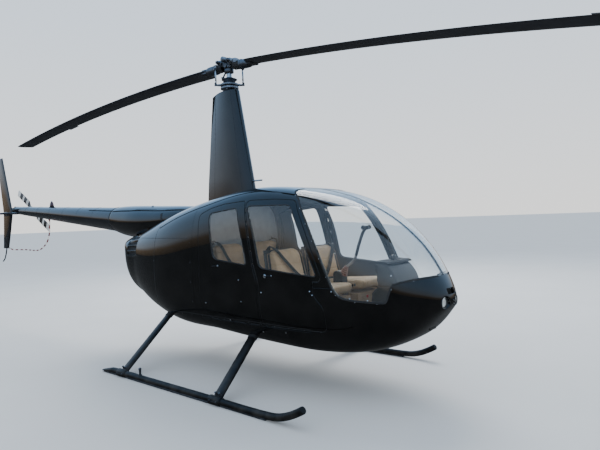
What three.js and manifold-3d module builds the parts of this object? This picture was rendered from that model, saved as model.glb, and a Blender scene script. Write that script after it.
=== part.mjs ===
// A light four-seat helicopter: a pod-shaped cabin, a two-blade teetering rotor on a tall mast,
// a tapered tail boom and two skids on raked struts.
// Millimetres. +X is forward, +Y to port, +Z up, and heights count from the ground.

import * as THREE from 'three';
import { mergeVertices } from 'three/addons/utils/BufferGeometryUtils.js';
import Module from 'manifold-3d';

const wasm = await Module();
wasm.setup();

// Driving dimensions
const mastX = 770;               // mast axis ahead of the middle of the overall length
const touch = 0.3;               // left between pieces that meet
const doorSeam = 9;              // round each door
const doorSkin = 9;              // outer layer of a door, which overhangs the layer inside it
const doorLip = 10;
const wall = 28;                 // cabin wall and doors
const paneOuter = 2;             // window glass below the outer skin
const paneInner = 7;
const cabinClear = 10;           // the fixed interior stays this far inside the wall
const lowerPower = 2.7;          // roundness of a pod section below its widest line
const rotorRadius = 5030;
const rotorChord = 254;
const hubHeight = 3290;
const restTurn = 0.037;          // forward blade left of straight ahead, in radians
const blade = { rootHeight: 3258, coning: -0.0271, teeter: 0.0431, droop: -0.0153e-3, twist: -0.1 };
const tailHub = new THREE.Vector3(-5890, 330, 1905);
const tailRadius = 737;
const tailChord = 128;
const tailRestTurn = THREE.MathUtils.degToRad(27);
const skidHalfTrack = 1083;
const skidRadius = 30;
const shoeHeight = 8;
const boomEnd = [-5760, 1897, 66];       // x, height, radius

// Pod sections, nose to tail: upright sides and a flat roof by the doors, round at both ends
// x, bottom, top, halfWidth, widest, roundness above the widest line
const podSections = [
  [2515, 840, 840, 0, 840, 2.1],
  [2450, 748, 1026, 194, 840, 2.15],
  [2250, 550, 1318, 400, 860, 2.25],
  [1900, 398, 1592, 564, 900, 2.9],
  [1400, 330, 1790, 634, 930, 4.1],
  [800, 340, 1868, 636, 950, 5.8],
  [100, 388, 1800, 648, 970, 4.6],
  [-600, 436, 1678, 628, 1000, 3.4],
  [-1200, 626, 1520, 518, 1150, 2.8],
  [-1600, 824, 1414, 387, 1300, 2.5],
  [-1750, 1036, 1426, 223, 1330, 2.4],
];
const podNose = podSections[0][0];
const podTail = podSections.at(-1)[0];

// Side-view outlines, x, height and corner radius, going round from the top rear corner
const doorOutlines = {
  front: [
    [805, 1712, 20], [843, 1730, 10], [1125, 1727, 0], [1332, 1708, 40], [1472, 1477, 200],
    [1575, 1243, 100], [1645, 1064, 25], [1623, 1032, 12], [1558, 1032, 12], [1564, 932, 40],
    [1588, 882, 60], [1657, 814, 40], [1664, 610, 60], [960, 600, 50], [960, 1000, 60],
    [908, 1131, 100],
  ],
  rear: [
    [141, 1624, 30], [288, 1678, 60], [490, 1712, 0], [776, 1728, 15], [876, 1131, 100],
    [926, 1000, 60], [920, 600, 50], [205, 600, 60], [133, 760, 100], [150, 1100, 200],
    [152, 1333, 200],
  ],
};
const doorWindows = {
  front: [
    [816, 1684, 45], [1302, 1674, 50], [1452, 1423, 250], [1611, 1064, 40], [968, 1123, 60],
    [901, 1452, 300],
  ],
  rear: [
    [289, 1636, 60], [684, 1673, 45], [821, 1141, 50], [359, 1192, 60], [306, 1511, 300],
  ],
};
const windshieldOutline = [
  [1225, 2050, 0], [1225, 1815, 40], [1354, 1722, 30], [1485, 1545, 200], [1608, 1304, 200],
  [1714, 1065, 80], [1746, 987, 60], [1800, 911, 60], [1910, 887, 60], [2157, 870, 20],
  [2177, 942, 30], [2197, 1012, 30], [2304, 1041, 60], [2400, 1056, 60], [2650, 1056, 0],
  [2650, 2050, 0],
];
const centreStrip = 14;          // half width of the bar between the two windshield halves

// Where the shell parts: roofOutline holds the roof and the pillars, and cowlOutline the engine cowl
const roofOutline = [
  [45, 2100, 0], [45, 585, 0], [1508, 585, 0], [1508, 977, 0], [1812, 977, 0], [1812, 1064, 0],
  [2700, 1064, 0], [2700, 2100, 0],
];
const cowlOutline = [[-2000, 2100, 0], [-2000, 200, 0], [45, 200, 0], [45, 2100, 0]];

const engineLow = [-880, -300, 620];
const engineHigh = [-180, 300, 1080];
const louvre = { rear: -1420, front: -1130, lowest: 1182, pitch: 66, slot: 26, rise: 12, count: 4 };
const coolingOutlet = { low: [-1040, -210, 300], high: [-430, 210, 800] };
const lamp = { y: 98, z: 842, radius: 50, rear: 2380, front: 2560, barDepth: 24, barHeight: 30 };
const noseVent = { low: [2380, -62, 905], high: [2560, 62, 950] };
const firewall = { rear: 62, front: 82 };
const floorTop = 614;
const floorDepth = 18;
const boomFrontRadius = 168;
// height, tail x, nose x, thickness
const mastSections = [
  [1690, -440, 358, 203],
  [2000, -410, 305, 192],
  [2900, -292, 140, 156],
  [2985, -280, 125, 150],
];
const hubBottom = 3238;
const pitotPath = [[250, 0, 1972], [445, 0, 1972]];

// Seats: side-view outlines of both rows
const seatInner = 60;
const seatOuter = 486;
const seats = {
  front: {
    base: [[1050, 600, 0], [1560, 600, 0], [1560, 842, 20], [1050, 842, 0]],
    rearPanel: [[958, 600, 0], [982, 600, 0], [906, 1272, 0], [885, 1272, 0]],
    cushion: [[1062, 846, 30], [1620, 868, 45], [1636, 968, 45], [1066, 936, 30]],
    back: [[952, 925, 10], [1094, 925, 20], [1003, 1282, 60], [910, 1288, 40]],
  },
  rear: {
    base: [[96, 600, 0], [790, 600, 0], [790, 842, 20], [96, 842, 0]],
    cushion: [[232, 846, 30], [806, 866, 45], [818, 955, 45], [236, 936, 30]],
    back: [[128, 925, 10], [262, 925, 20], [222, 1332, 60], [118, 1338, 40]],
  },
};
// Instrument console between the pilots' feet, and the cyclic stick on its housing
const consoleOutline = {
  pedestal: [
    [1790, floorTop + touch, 0], [2285, floorTop + touch, 0], [2250, 860, 30], [2140, 955, 40],
    [1900, 955, 20], [1815, 890, 60],
  ],
  head: [[1930, 950, 10], [2130, 950, 20], [2100, 1050, 30], [2020, 1150, 40], [1905, 1160, 20]],
};
const pedestalHalf = 115;
const headHalf = 205;
const stick = {
  housing: [
    [1345, floorTop + touch, 0], [1470, floorTop + touch, 0], [1462, 1045, 40], [1350, 1056, 45],
  ],
  housingHalf: 42,
  path: [
    [1425, 0, 1025], [1470, 0, 1075], [1574, 0, 1160], [1625, 0, 1285], [1677, 0, 1405], [1712, 0, 1450],
  ],
  radius: 14,
  gripHalf: 62,
  gripRadius: 17,
};

// Landing gear
const skidHeight = shoeHeight + skidRadius;
const skidPath = [
  [-966, skidHeight], [-300, skidHeight], [600, skidHeight], [1460, skidHeight], [1560, skidHeight + 10],
  [1650, skidHeight + 36], [1735, skidHeight + 74], [1816, skidHeight + 119],
];
const shoeEnds = [-940, 1440];
const strutChord = 108;
const strutThickness = 42;
const struts = {
  front: { footX: 845, rootX: 650, rootY: 330, rootZ: 525 },
  rear: { footX: -600, rootX: -690, rootY: 330, rootZ: 600 },
};
const saddle = { half: 75, radius: skidRadius + 9 };

// Tail surfaces: height or width station, nose x, tail x, thickness
const finY = -118;
const fins = {
  upper: [[1845, -5690, -6085, 44], [1960, -5722, -6100, 44], [2870, -6030, -6290, 26]],
  lower: [[1210, -5912, -6150, 26], [1550, -5785, -6110, 36], [1835, -5692, -6085, 40]],
};
const stabiliserHeight = 1840;
const stabiliserSections = [[-50, -5560, -5880, 40], [-820, -5640, -5880, 28]];
const guardPath = [
  [-5950, -94, 1222], [-5860, -80, 1192], [-5500, 0, 1184], [-5024, 30, 1180], [-4867, 40, 1233],
  [-4714, 40, 1322], [-4641, 38, 1420], [-4593, 30, 1491], [-4562, 20, 1588], [-4531, 10, 1672],
  [-4500, 0, 1735],
];
const tailSkidPath = [[-6010, finY, 1200], [-6050, finY, 1120], [-6120, finY, 1020], [-6210, finY, 965]];
const tailTubeRadius = 11;       // guard and tail skid
const gearbox = { rear: -5965, frontRadius: 64, rearRadius: 50, arm: [-40, 250], armRadius: 40, armEnd: 30 };
const beacon = { x: -4400, bottom: 1800, top: 2005, radius: 32, topRadius: 18 };

// Main rotor head
const shaft = { radius: 28, low: 2900 };
const plate = { bore: shaft.radius + 2, radius: 104, low: 3042, high: 3066, armHeight: 3054, armRadius: 11 };
const link = { x: 105, y: 105, radius: 9, past: 12 };
const horn = { height: 3250, root: 250, radius: 12 };
const hub = {
  halfLength: 140, halfWidth: 60, above: 42, pins: [-78, 0, 78], pinHeight: hubHeight + 12, pinHalf: 122,
  pinRadius: 26,
};
const hubCap = { low: 30, high: 62, radius: 40 };

// Rotor blades: radius, chord, thickness
const quarter = 0.25;            // share of the chord ahead of the blade's axis
const bladeStations = [
  [143, 96, 84], [330, 104, 80], [480, 150, 52], [640, rotorChord, 36], [1500, rotorChord, 34],
  [2400, rotorChord, 33], [3300, rotorChord, 33], [4200, rotorChord, 32], [4980, rotorChord, 31],
  [rotorRadius, rotorChord * 0.9, 16],
];
const tailBladeStations = [
  [90, 60, 44], [150, 70, 30], [200, tailChord, 18], [tailRadius - 12, tailChord, 15], [tailRadius, 110, 8],
];
const tailHubShaft = { from: -72, to: 40, radius: 24 };
const tailHubBlock = [88, 22, 34];   // half sizes

const paint = {
  black: [0x0d0e10, 0.12, 0.2],
  satinBlack: [0x18191b, 0.45, 0.1],
  bladeBlack: [0x1c1d20, 0.5, 0.1],
  glass: [0x9fb2b5, 0.05, 0.0],
  steel: [0x8a8d90, 0.35, 0.9],
  darkMetal: [0x3a3c3f, 0.5, 0.6],
  leather: [0xc9a77c, 0.6, 0.0],
  greyTrim: [0x55565a, 0.8, 0.0],
  lamp: [0xf2f2ea, 0.1, 0.3],
  redLamp: [0xa01d18, 0.15, 0.0],
  white: [0xe4e4e0, 0.4, 0.0],
};

const craft = new THREE.Group();
craft.position.x = mastX;

function addPart(name, geometry, finish, parent = craft) {
  const [color, roughness, metalness] = paint[finish];
  const material = new THREE.MeshStandardMaterial({ color, roughness, metalness });
  if (finish === 'glass') Object.assign(material, { transparent: true, opacity: 0.35 });
  const mesh = new THREE.Mesh(geometry, material);
  mesh.name = name;
  parent.add(mesh);
  return mesh;
}

// A closed geometry as a solid for cutting and joining
function toSolid(geometry) {
  const bare = geometry.clone();
  for (const key of Object.keys(bare.attributes)) if (key !== 'position') bare.deleteAttribute(key);
  const merged = mergeVertices(bare, 1e-3);
  const vertProperties = new Float32Array(merged.attributes.position.array);
  const triVerts = new Uint32Array(merged.index.array);
  return new wasm.Manifold(new wasm.Mesh({ numProp: 3, vertProperties, triVerts }));
}

function toGeometry(solid) {
  const mesh = solid.getMesh();
  const geometry = new THREE.BufferGeometry();
  geometry.setAttribute('position', new THREE.BufferAttribute(mesh.vertProperties, 3));
  geometry.setIndex(new THREE.BufferAttribute(mesh.triVerts, 1));
  geometry.computeVertexNormals();
  return geometry;
}

const joined = (solids) => solids.reduce((sum, next) => sum.add(next));

// Smooth value at s through knots, each slope weighed from its two neighbouring spans
function smoothAt(s, knots, values) {
  const last = knots.length - 1;
  const slope = (i) => (values[i + 1] - values[i]) / (knots[i + 1] - knots[i]);
  const inner = (i) => {
    const before = knots[i] - knots[i - 1];
    const after = knots[i + 1] - knots[i];
    return (slope(i - 1) * after + slope(i) * before) / (before + after);
  };
  const tangent = (i) => {
    if (i === 0) return 2 * slope(0) - inner(1);
    if (i === last) return 2 * slope(last - 1) - inner(last - 1);
    return inner(i);
  };
  let i = 0;
  while (i < last - 1 && s >= knots[i + 1]) i += 1;
  const span = knots[i + 1] - knots[i];
  const t = (s - knots[i]) / span;
  return (2 * t ** 3 - 3 * t ** 2 + 1) * values[i] + (t ** 3 - 2 * t ** 2 + t) * span * tangent(i)
    + (3 * t ** 2 - 2 * t ** 3) * values[i + 1] + (t ** 3 - t ** 2) * span * tangent(i + 1);
}

// The pod is a superellipse at each station, and s grows with the root of the distance from the
// nose, so that the nose is round
const podKnots = podSections.map(([x]) => Math.sqrt(podNose - x));
const podColumn = (column) => podSections.map((row) => row[column]);

function podPoint(s, angle) {
  const bottom = smoothAt(s, podKnots, podColumn(1));
  const top = smoothAt(s, podKnots, podColumn(2));
  const halfWidth = Math.abs(smoothAt(s, podKnots, podColumn(3)));
  const widest = smoothAt(s, podKnots, podColumn(4));
  const up = Math.sin(angle);
  const side = Math.cos(angle);
  const power = up >= 0 ? smoothAt(s, podKnots, podColumn(5)) : lowerPower;
  const half = up >= 0 ? top - widest : widest - bottom;
  return new THREE.Vector3(
    podNose - s * s,
    halfWidth * Math.sign(side) * Math.abs(side) ** (2 / power),
    widest + half * Math.sign(up) * Math.abs(up) ** (2 / power),
  );
}

// A point of the pod moved inwards along the surface normal
function podInset(s, angle, inset) {
  const step = 0.02;
  const along = podPoint(s + step, angle).sub(podPoint(Math.max(s - step, 0), angle));
  const around = podPoint(s, angle + step).sub(podPoint(s, angle - step));
  const normal = along.cross(around).normalize();
  const point = podPoint(s, angle);
  const outward = new THREE.Vector3(0, point.y, point.z - smoothAt(s, podKnots, podColumn(4)));
  if (normal.dot(outward) < 0) normal.negate();
  return point.addScaledVector(normal, -inset);
}

// A closed skin through rings of equal length, shut at each end by a fan to one point
function loft(rings, startPoint, endPoint) {
  const middle = (ring) => ring.reduce((sum, p) => sum.add(p), new THREE.Vector3()).divideScalar(ring.length);
  const points = rings.flat();
  const start = points.push(startPoint ?? middle(rings[0])) - 1;
  const end = points.push(endPoint ?? middle(rings.at(-1))) - 1;
  const count = rings[0].length;
  const faces = [];
  for (let k = 0; k < count; k += 1) {
    const next = (k + 1) % count;
    for (let r = 0; r + 1 < rings.length; r += 1) {
      const a = r * count + k;
      const b = r * count + next;
      faces.push([a, b, b + count], [a, b + count, a + count]);
    }
    const lastRing = (rings.length - 1) * count;
    faces.push([start, next, k], [end, lastRing + k, lastRing + next]);
  }
  const volume = faces.reduce((sum, [a, b, c]) => (
    sum + points[a].dot(points[b].clone().cross(points[c]))), 0);
  const index = volume > 0 ? faces.flat() : faces.map(([a, b, c]) => [a, c, b]).flat();
  const geometry = new THREE.BufferGeometry().setFromPoints(points);
  geometry.setIndex(index);
  return geometry;
}

function podSolid(inset, rows = 15, columns = 24) {
  const tailEnd = Math.sqrt(podNose - podTail);
  const rings = [];
  for (let row = 1; row <= rows; row += 1) {
    const s = (tailEnd * row) / rows;
    rings.push(Array.from({ length: columns }, (_, k) => (
      podInset(s, ((k + 0.5) * 2 * Math.PI) / columns, inset))));
  }
  const tailMiddle = podSections.at(-1)[4] - 80;
  const tailCap = rings.at(-1).map((p) => new THREE.Vector3(
    podTail - 18, p.y * 0.75, tailMiddle + (p.z - tailMiddle) * 0.75));
  if (inset <= 0) rings.push(tailCap);
  return toSolid(loft(rings, new THREE.Vector3(podNose - inset, 0, podSections[0][4])));
}

// A side-view outline with rounded corners
function outlineShape(corners) {
  const shape = new THREE.Shape();
  corners.forEach(([x, z, radius], i) => {
    const before = corners.at(i - 1);
    const after = corners[(i + 1) % corners.length];
    const corner = new THREE.Vector2(x, z);
    const reach = (other) => {
      const towards = new THREE.Vector2(other[0], other[1]).sub(corner);
      return corner.clone().add(towards.setLength(Math.min(radius, towards.length() * 0.45)));
    };
    const enter = reach(before);
    const leave = reach(after);
    if (i === 0) shape.moveTo(enter.x, enter.y);
    else shape.lineTo(enter.x, enter.y);
    if (radius > 0) shape.quadraticCurveTo(x, z, leave.x, leave.y);
  });
  return shape;
}

// An outline moved outwards by a distance, with mitred corners; a negative distance moves it in
function grown(corners, distance) {
  const turning = corners.reduce((sum, [x, z], i) => {
    const [nextX, nextZ] = corners[(i + 1) % corners.length];
    return sum + x * nextZ - nextX * z;
  }, 0);
  const side = turning > 0 ? 1 : -1;
  return corners.map(([x, z, radius], i) => {
    const corner = new THREE.Vector2(x, z);
    const before = corner.clone().sub(new THREE.Vector2(...corners.at(i - 1).slice(0, 2))).normalize();
    const following = corners[(i + 1) % corners.length];
    const after = new THREE.Vector2(...following.slice(0, 2)).sub(corner).normalize();
    const normalBefore = new THREE.Vector2(before.y, -before.x);
    const normalAfter = new THREE.Vector2(after.y, -after.x);
    const mitre = normalBefore.clone().add(normalAfter);
    mitre.multiplyScalar((side * distance) / (1 + normalBefore.dot(normalAfter)));
    return [x + mitre.x, z + mitre.y, radius];
  });
}

// An outline in side view carried across from one width to the other
function slab(corners, fromY, toY, smoothness = 3) {
  const geometry = new THREE.ExtrudeGeometry(outlineShape(corners), {
    depth: toY - fromY, bevelEnabled: false, curveSegments: smoothness,
  });
  geometry.rotateX(Math.PI / 2);
  geometry.translate(0, toY, 0);
  return toSolid(geometry);
}

function boxSolid(low, high) {
  const geometry = new THREE.BoxGeometry(high[0] - low[0], high[1] - low[1], high[2] - low[2]);
  geometry.translate((low[0] + high[0]) / 2, (low[1] + high[1]) / 2, (low[2] + high[2]) / 2);
  return toSolid(geometry);
}

// A round rod between two points, optionally tapered
function rod(from, to, radius, endRadius = radius, sides = 12) {
  const start = new THREE.Vector3(...from);
  const axis = new THREE.Vector3(...to).sub(start);
  const geometry = new THREE.CylinderGeometry(endRadius, radius, axis.length(), sides);
  geometry.translate(0, axis.length() / 2, 0);
  geometry.applyQuaternion(new THREE.Quaternion().setFromUnitVectors(
    new THREE.Vector3(0, 1, 0), axis.clone().normalize()));
  geometry.translate(start.x, start.y, start.z);
  return toSolid(geometry);
}

// A round pipe through points in order, its rings square to the path
function pipe(points, radius, sideCount = 12) {
  const centres = points.map((p) => new THREE.Vector3(...p));
  const rings = centres.map((centre, i) => {
    const ahead = centres[Math.min(i + 1, centres.length - 1)];
    const behind = centres[Math.max(i - 1, 0)];
    const forward = ahead.clone().sub(behind).normalize();
    const upright = Math.abs(forward.z) > 0.9 ? new THREE.Vector3(0, 1, 0) : new THREE.Vector3(0, 0, 1);
    const across = forward.clone().cross(upright).normalize();
    const over = across.clone().cross(forward);
    return Array.from({ length: sideCount }, (_, k) => {
      const turn = (2 * Math.PI * k) / sideCount;
      return centre.clone().addScaledVector(across, radius * Math.cos(turn))
        .addScaledVector(over, radius * Math.sin(turn));
    });
  });
  return toSolid(loft(rings, centres[0], centres.at(-1)));
}

// Points along a smooth curve through a few given ones
function bend(points, steps) {
  const curve = new THREE.CatmullRomCurve3(points.map((p) => new THREE.Vector3(...p)), false, 'centripetal');
  return curve.getPoints(steps).map((p) => p.toArray());
}

// A turned solid about a vertical axis, from radius and height pairs
function turned(profile, sides = 18) {
  const geometry = new THREE.LatheGeometry(profile.map(([r, z]) => new THREE.Vector2(r, z)), sides);
  geometry.rotateX(Math.PI / 2);
  return toSolid(geometry);
}

// A streamlined section on a chord of 1: pairs of place along the chord, 1 at its round nose,
// and half thickness, 1 where it is thickest
function streamlined(count = 14) {
  return Array.from({ length: count }, (_, k) => {
    const turn = (2 * Math.PI * k) / count;
    const behind = (1 - Math.cos(turn)) / 2;
    const half = 10 * (0.2969 * Math.sqrt(behind) - 0.126 * behind - 0.3516 * behind ** 2
      + 0.2843 * behind ** 3 - 0.0966 * behind ** 4);
    return [1 - behind, Math.sign(Math.sin(turn)) * half];
  });
}

// A streamlined ring: its nose point, the direction from tail to nose, and across the thickness
function streamRing(nose, noseward, across, chord, thickness) {
  return streamlined().map(([along, half]) => nose.clone()
    .addScaledVector(noseward, (along - 1) * chord)
    .addScaledVector(across, (half * thickness) / 2));
}

const pod = podSolid(0);
const podGrown = podSolid(-touch);
const podInner = podSolid(wall, 10, 16);
const shell = pod.subtract(podInner);
const podUnderSkin = podSolid(doorSkin, 10, 16);
const paneLayer = podSolid(paneOuter).subtract(podSolid(paneInner));
const cabinSpace = podSolid(wall + cabinClear, 10, 16);

const sides = { right: [-900, 0], left: [0, 900] };

// Doors, their openings and their glass
const doorOpenings = [];
for (const [row, outline] of Object.entries(doorOutlines)) {
  for (const [side, [low, high]] of Object.entries(sides)) {
    const window = doorWindows[row];
    doorOpenings.push(slab(grown(outline, doorSeam), low, high));
    const skin = pod.subtract(podUnderSkin).intersect(slab(outline, low, high));
    const lining = shell.intersect(slab(grown(outline, -doorLip), low, high));
    const door = skin.add(lining).subtract(slab(window, low, high));
    addPart(`door_${row}_${side}`, toGeometry(door), 'black');
    const glass = paneLayer.intersect(slab(grown(window, -touch), low, high));
    addPart(`door_glass_${row}_${side}`, toGeometry(glass), 'glass');
  }
}

// Windshield halves
const windshieldOpenings = [];
for (const [side, [low, high]] of Object.entries(sides)) {
  const edges = [Math.max(low, centreStrip), Math.min(high, -centreStrip)];
  const [from, to] = side === 'left' ? [edges[0], high] : [low, edges[1]];
  windshieldOpenings.push(slab(windshieldOutline, from, to));
  const inner = side === 'left' ? [from + touch, to] : [from, to - touch];
  const glass = paneLayer.intersect(slab(grown(windshieldOutline, -touch), ...inner));
  addPart(`windshield_${side}`, toGeometry(glass), 'glass');
}

// Fixed shell: roof with its pillars, belly with the nose, and the engine cowl
const openShell = shell.subtract(joined([...doorOpenings, ...windshieldOpenings]));
const cowlRegion = slab(cowlOutline, -900, 900);
const roofRegion = slab(roofOutline, -900, 900);
const partedShell = openShell.subtract(slab(grown(cowlOutline, touch), -900, 900));
const cabinFrame = partedShell.intersect(slab(grown(roofOutline, -touch), -900, 900));
addPart('cabin_frame', toGeometry(cabinFrame), 'black');

const louvres = Array.from({ length: louvre.count }, (_, i) => {
  const z = louvre.lowest + i * louvre.pitch;
  return slab([
    [louvre.rear, z, 0], [louvre.rear, z + louvre.slot, 8], [louvre.front, z + louvre.slot + louvre.rise, 8],
    [louvre.front, z + louvre.rise, 8],
  ], -900, 900);
});

// Spine fairing behind the mast, then the tapered boom
// x, height of centre, half width, half height
const spineSections = [
  [-300, 1670, 40, 50],
  [-450, 1628, 130, 102],
  [-800, 1607, 190, 148],
  [-1400, 1584, 220, 198],
  [-1800, 1591, 220, 210],
  [-2080, 1606, 198, 203],
  [-2340, 1634, 172, 172],
];
function spineSolid(extra) {
  const rings = spineSections.map(([x, z, halfWidth, halfHeight]) => (
    Array.from({ length: 24 }, (_, k) => {
      const turn = ((k + 0.5) * 2 * Math.PI) / 24;
      return new THREE.Vector3(
        x, (halfWidth + extra) * Math.cos(turn), z + (halfHeight + extra) * Math.sin(turn));
    })));
  return toSolid(loft(rings));
}
const spine = spineSolid(0).subtract(podGrown);
addPart('spine_fairing', toGeometry(spine), 'black');

const cowlPieces = openShell.intersect(cowlRegion).subtract(spineSolid(touch));
const cowl = cowlPieces.subtract(joined([...louvres, boxSolid(coolingOutlet.low, coolingOutlet.high)]));
addPart('engine_cowl', toGeometry(cowl), 'black');

const boomStart = spineSections.at(-1);
function boomSolid(extra) {
  const front = [boomStart[0] - touch + extra, boomStart[1], boomFrontRadius];
  return toSolid(loft([front, boomEnd].map(([x, z, radius]) => (
    Array.from({ length: 24 }, (_, k) => {
      const turn = ((k + 0.5) * 2 * Math.PI) / 24;
      return new THREE.Vector3(x, (radius + extra) * Math.cos(turn), z + (radius + extra) * Math.sin(turn));
    })))));
}
addPart('tail_boom', toGeometry(boomSolid(0)), 'black');

// Mast fairing: streamlined sections, tapering upwards
function mastFairing() {
  const rings = mastSections.map(([z, tail, nose, thickness]) => (
    streamRing(new THREE.Vector3(nose, 0, z), new THREE.Vector3(1, 0, 0),
      new THREE.Vector3(0, 1, 0), nose - tail, thickness)));
  return toSolid(loft(rings));
}
const tube = { bore: 34, radius: 46, low: 2890, flange: 102, flangeLow: 3006, top: 3030 };
const mastTube = turned([
  [tube.bore, tube.low], [tube.radius, tube.low], [tube.radius, tube.flangeLow - 2],
  [tube.flange, tube.flangeLow], [tube.flange, tube.top], [tube.bore, tube.top], [tube.bore, tube.low],
]);
const tubeHole = rod([0, 0, 2700], [0, 0, 3100], tube.radius + 2, tube.radius + 2, 18);
const fairing = mastFairing().subtract(joined([podGrown, spineSolid(touch), tubeHole]));
addPart('mast_fairing', toGeometry(fairing), 'black');
addPart('swashplate_fixed', toGeometry(mastTube), 'darkMetal');
addPart('pitot_tube', toGeometry(pipe(pitotPath, 9, 8).subtract(fairing)), 'steel');

// Inside the cabin
const bulkhead = cabinSpace.intersect(boxSolid([firewall.rear, -900, 300], [firewall.front, 900, 1900]));
addPart('firewall', toGeometry(bulkhead), 'greyTrim');
const floorPlate = cabinSpace.intersect(
  boxSolid([firewall.front + 8, -900, floorTop - floorDepth], [2330, 900, floorTop]));
const seatBases = Object.values(seats).flatMap(({ base, rearPanel }) => [-1, 1].flatMap((hand) => {
  const [near, far] = hand > 0 ? [seatInner, seatOuter] : [-seatOuter, -seatInner];
  return [base, rearPanel].filter(Boolean).map((outline) => slab(outline, near, far));
}));
addPart('cabin_floor', toGeometry(joined([floorPlate, ...seatBases])), 'greyTrim');
for (const [row, { cushion, back }] of Object.entries(seats)) {
  for (const side of ['right', 'left']) {
    const [near, far] = side === 'left' ? [seatInner + 6, seatOuter - 6] : [6 - seatOuter, -seatInner - 6];
    const padding = slab(cushion, near, far).add(slab(back, near, far));
    addPart(`seat_${row}_${side}`, toGeometry(padding), 'leather');
  }
}
const console = slab(consoleOutline.pedestal, -pedestalHalf, pedestalHalf)
  .add(slab(consoleOutline.head, -headHalf, headHalf));
addPart('instrument_console', toGeometry(console.intersect(cabinSpace)), 'satinBlack');
const gripEnd = stick.path.at(-1);
const stickSolid = joined([
  slab(stick.housing, -stick.housingHalf, stick.housingHalf),
  pipe(bend(stick.path, 10), stick.radius, 8),
  rod([gripEnd[0], -stick.gripHalf, gripEnd[2]], [gripEnd[0], stick.gripHalf, gripEnd[2]], stick.gripRadius),
]);
addPart('cyclic_stick', toGeometry(stickSolid), 'satinBlack');
addPart('engine_block', toGeometry(boxSolid(engineLow, engineHigh)), 'darkMetal');

// Landing lights in the nose
const lampRods = (extra) => joined([-1, 1].map((hand) => {
  const ends = [lamp.rear, lamp.front].map((x) => [x, hand * lamp.y, lamp.z]);
  return rod(...ends, lamp.radius + extra, lamp.radius + extra, 24);
}));
const lampBar = boxSolid(
  [lamp.rear, -lamp.y, lamp.z - lamp.barHeight / 2],
  [lamp.rear + lamp.barDepth, lamp.y, lamp.z + lamp.barHeight / 2]);
const lights = lampRods(0).intersect(podSolid(1)).add(lampBar);
addPart('landing_lights', toGeometry(lights), 'lamp');
const noseHoles = lampRods(touch).add(boxSolid(noseVent.low, noseVent.high));
addPart('belly_and_nose', toGeometry(partedShell.subtract(roofRegion.add(noseHoles))), 'black');

// Skids with wear shoes, and the raked struts
for (const [side, hand] of [['right', -1], ['left', 1]]) {
  const y = hand * skidHalfTrack;
  const path = skidPath.map(([x, z]) => [x, y, z]);
  const shoe = boxSolid([shoeEnds[0], y - 20, 0], [shoeEnds[1], y + 20, shoeHeight + 8]);
  addPart(`skid_${side}`, toGeometry(pipe(path, skidRadius).add(shoe)), 'black');
}
const skidCut = joined([-1, 1].map((hand) => (
  pipe(skidPath.map(([x, z]) => [x, hand * skidHalfTrack, z]), skidRadius + touch))));
for (const [place, strut] of Object.entries(struts)) {
  for (const [side, hand] of [['right', -1], ['left', 1]]) {
    const foot = new THREE.Vector3(strut.footX, hand * skidHalfTrack, skidHeight);
    const root = new THREE.Vector3(strut.rootX, hand * strut.rootY, strut.rootZ);
    const noseward = new THREE.Vector3(1, 0, 0);
    const across = root.clone().sub(foot).setX(0).cross(noseward).normalize();
    const rings = [foot, root].map((p) => streamRing(
      p.clone().setX(p.x + strutChord / 2), noseward, across, strutChord, strutThickness));
    const above = boxSolid([-3000, -1200, skidHeight], [3000, 1200, 900]);
    const saddleEnds = [-saddle.half, saddle.half].map((x) => [strut.footX + x, foot.y, skidHeight]);
    const leg = toSolid(loft(rings)).add(rod(...saddleEnds, saddle.radius)).intersect(above);
    addPart(`strut_${place}_${side}`, toGeometry(leg.subtract(joined([podGrown, skidCut]))), 'black');
  }
}

// Tail: gearbox, stabiliser with the fins above and below it, guard and tail skid
const gearboxSolid = (extra) => joined([
  rod([boomEnd[0] - touch + extra, 0, boomEnd[1]], [gearbox.rear - extra, 0, boomEnd[1]],
    gearbox.frontRadius + extra, gearbox.rearRadius + extra),
  rod([tailHub.x, gearbox.arm[0], tailHub.z], [tailHub.x, gearbox.arm[1], tailHub.z],
    gearbox.armRadius + extra, gearbox.armEnd + extra),
]);
addPart('tail_gearbox', toGeometry(gearboxSolid(0)), 'black');
const stabiliserSolid = (extra) => toSolid(loft(stabiliserSections.map(([y, nose, tail, thickness]) => (
  streamRing(new THREE.Vector3(nose + extra, y, stabiliserHeight), new THREE.Vector3(1, 0, 0),
    new THREE.Vector3(0, 0, 1), nose - tail + 2 * extra, thickness + 2 * extra)))));
const stabiliser = stabiliserSolid(0).subtract(joined([boomSolid(touch), gearboxSolid(touch)]));
addPart('horizontal_stabiliser', toGeometry(stabiliser), 'black');
const stabiliserGrown = stabiliserSolid(touch);
for (const [name, sections] of Object.entries(fins)) {
  const rings = sections.map(([z, nose, tail, thickness]) => (
    streamRing(new THREE.Vector3(nose, finY, z), new THREE.Vector3(1, 0, 0),
      new THREE.Vector3(0, 1, 0), nose - tail, thickness)));
  addPart(`${name}_fin`, toGeometry(toSolid(loft(rings)).subtract(stabiliserGrown)), 'black');
}
const guard = pipe(bend(guardPath, 20), tailTubeRadius, 7).subtract(boomSolid(touch));
addPart('tail_guard', toGeometry(guard), 'white');
addPart('tail_skid', toGeometry(pipe(bend(tailSkidPath, 8), tailTubeRadius, 8)), 'darkMetal');
const lens = rod([beacon.x, 0, beacon.bottom], [beacon.x, 0, beacon.top], beacon.radius, beacon.topRadius)
  .subtract(boomSolid(touch));
addPart('beacon', toGeometry(lens), 'redLamp');

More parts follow.
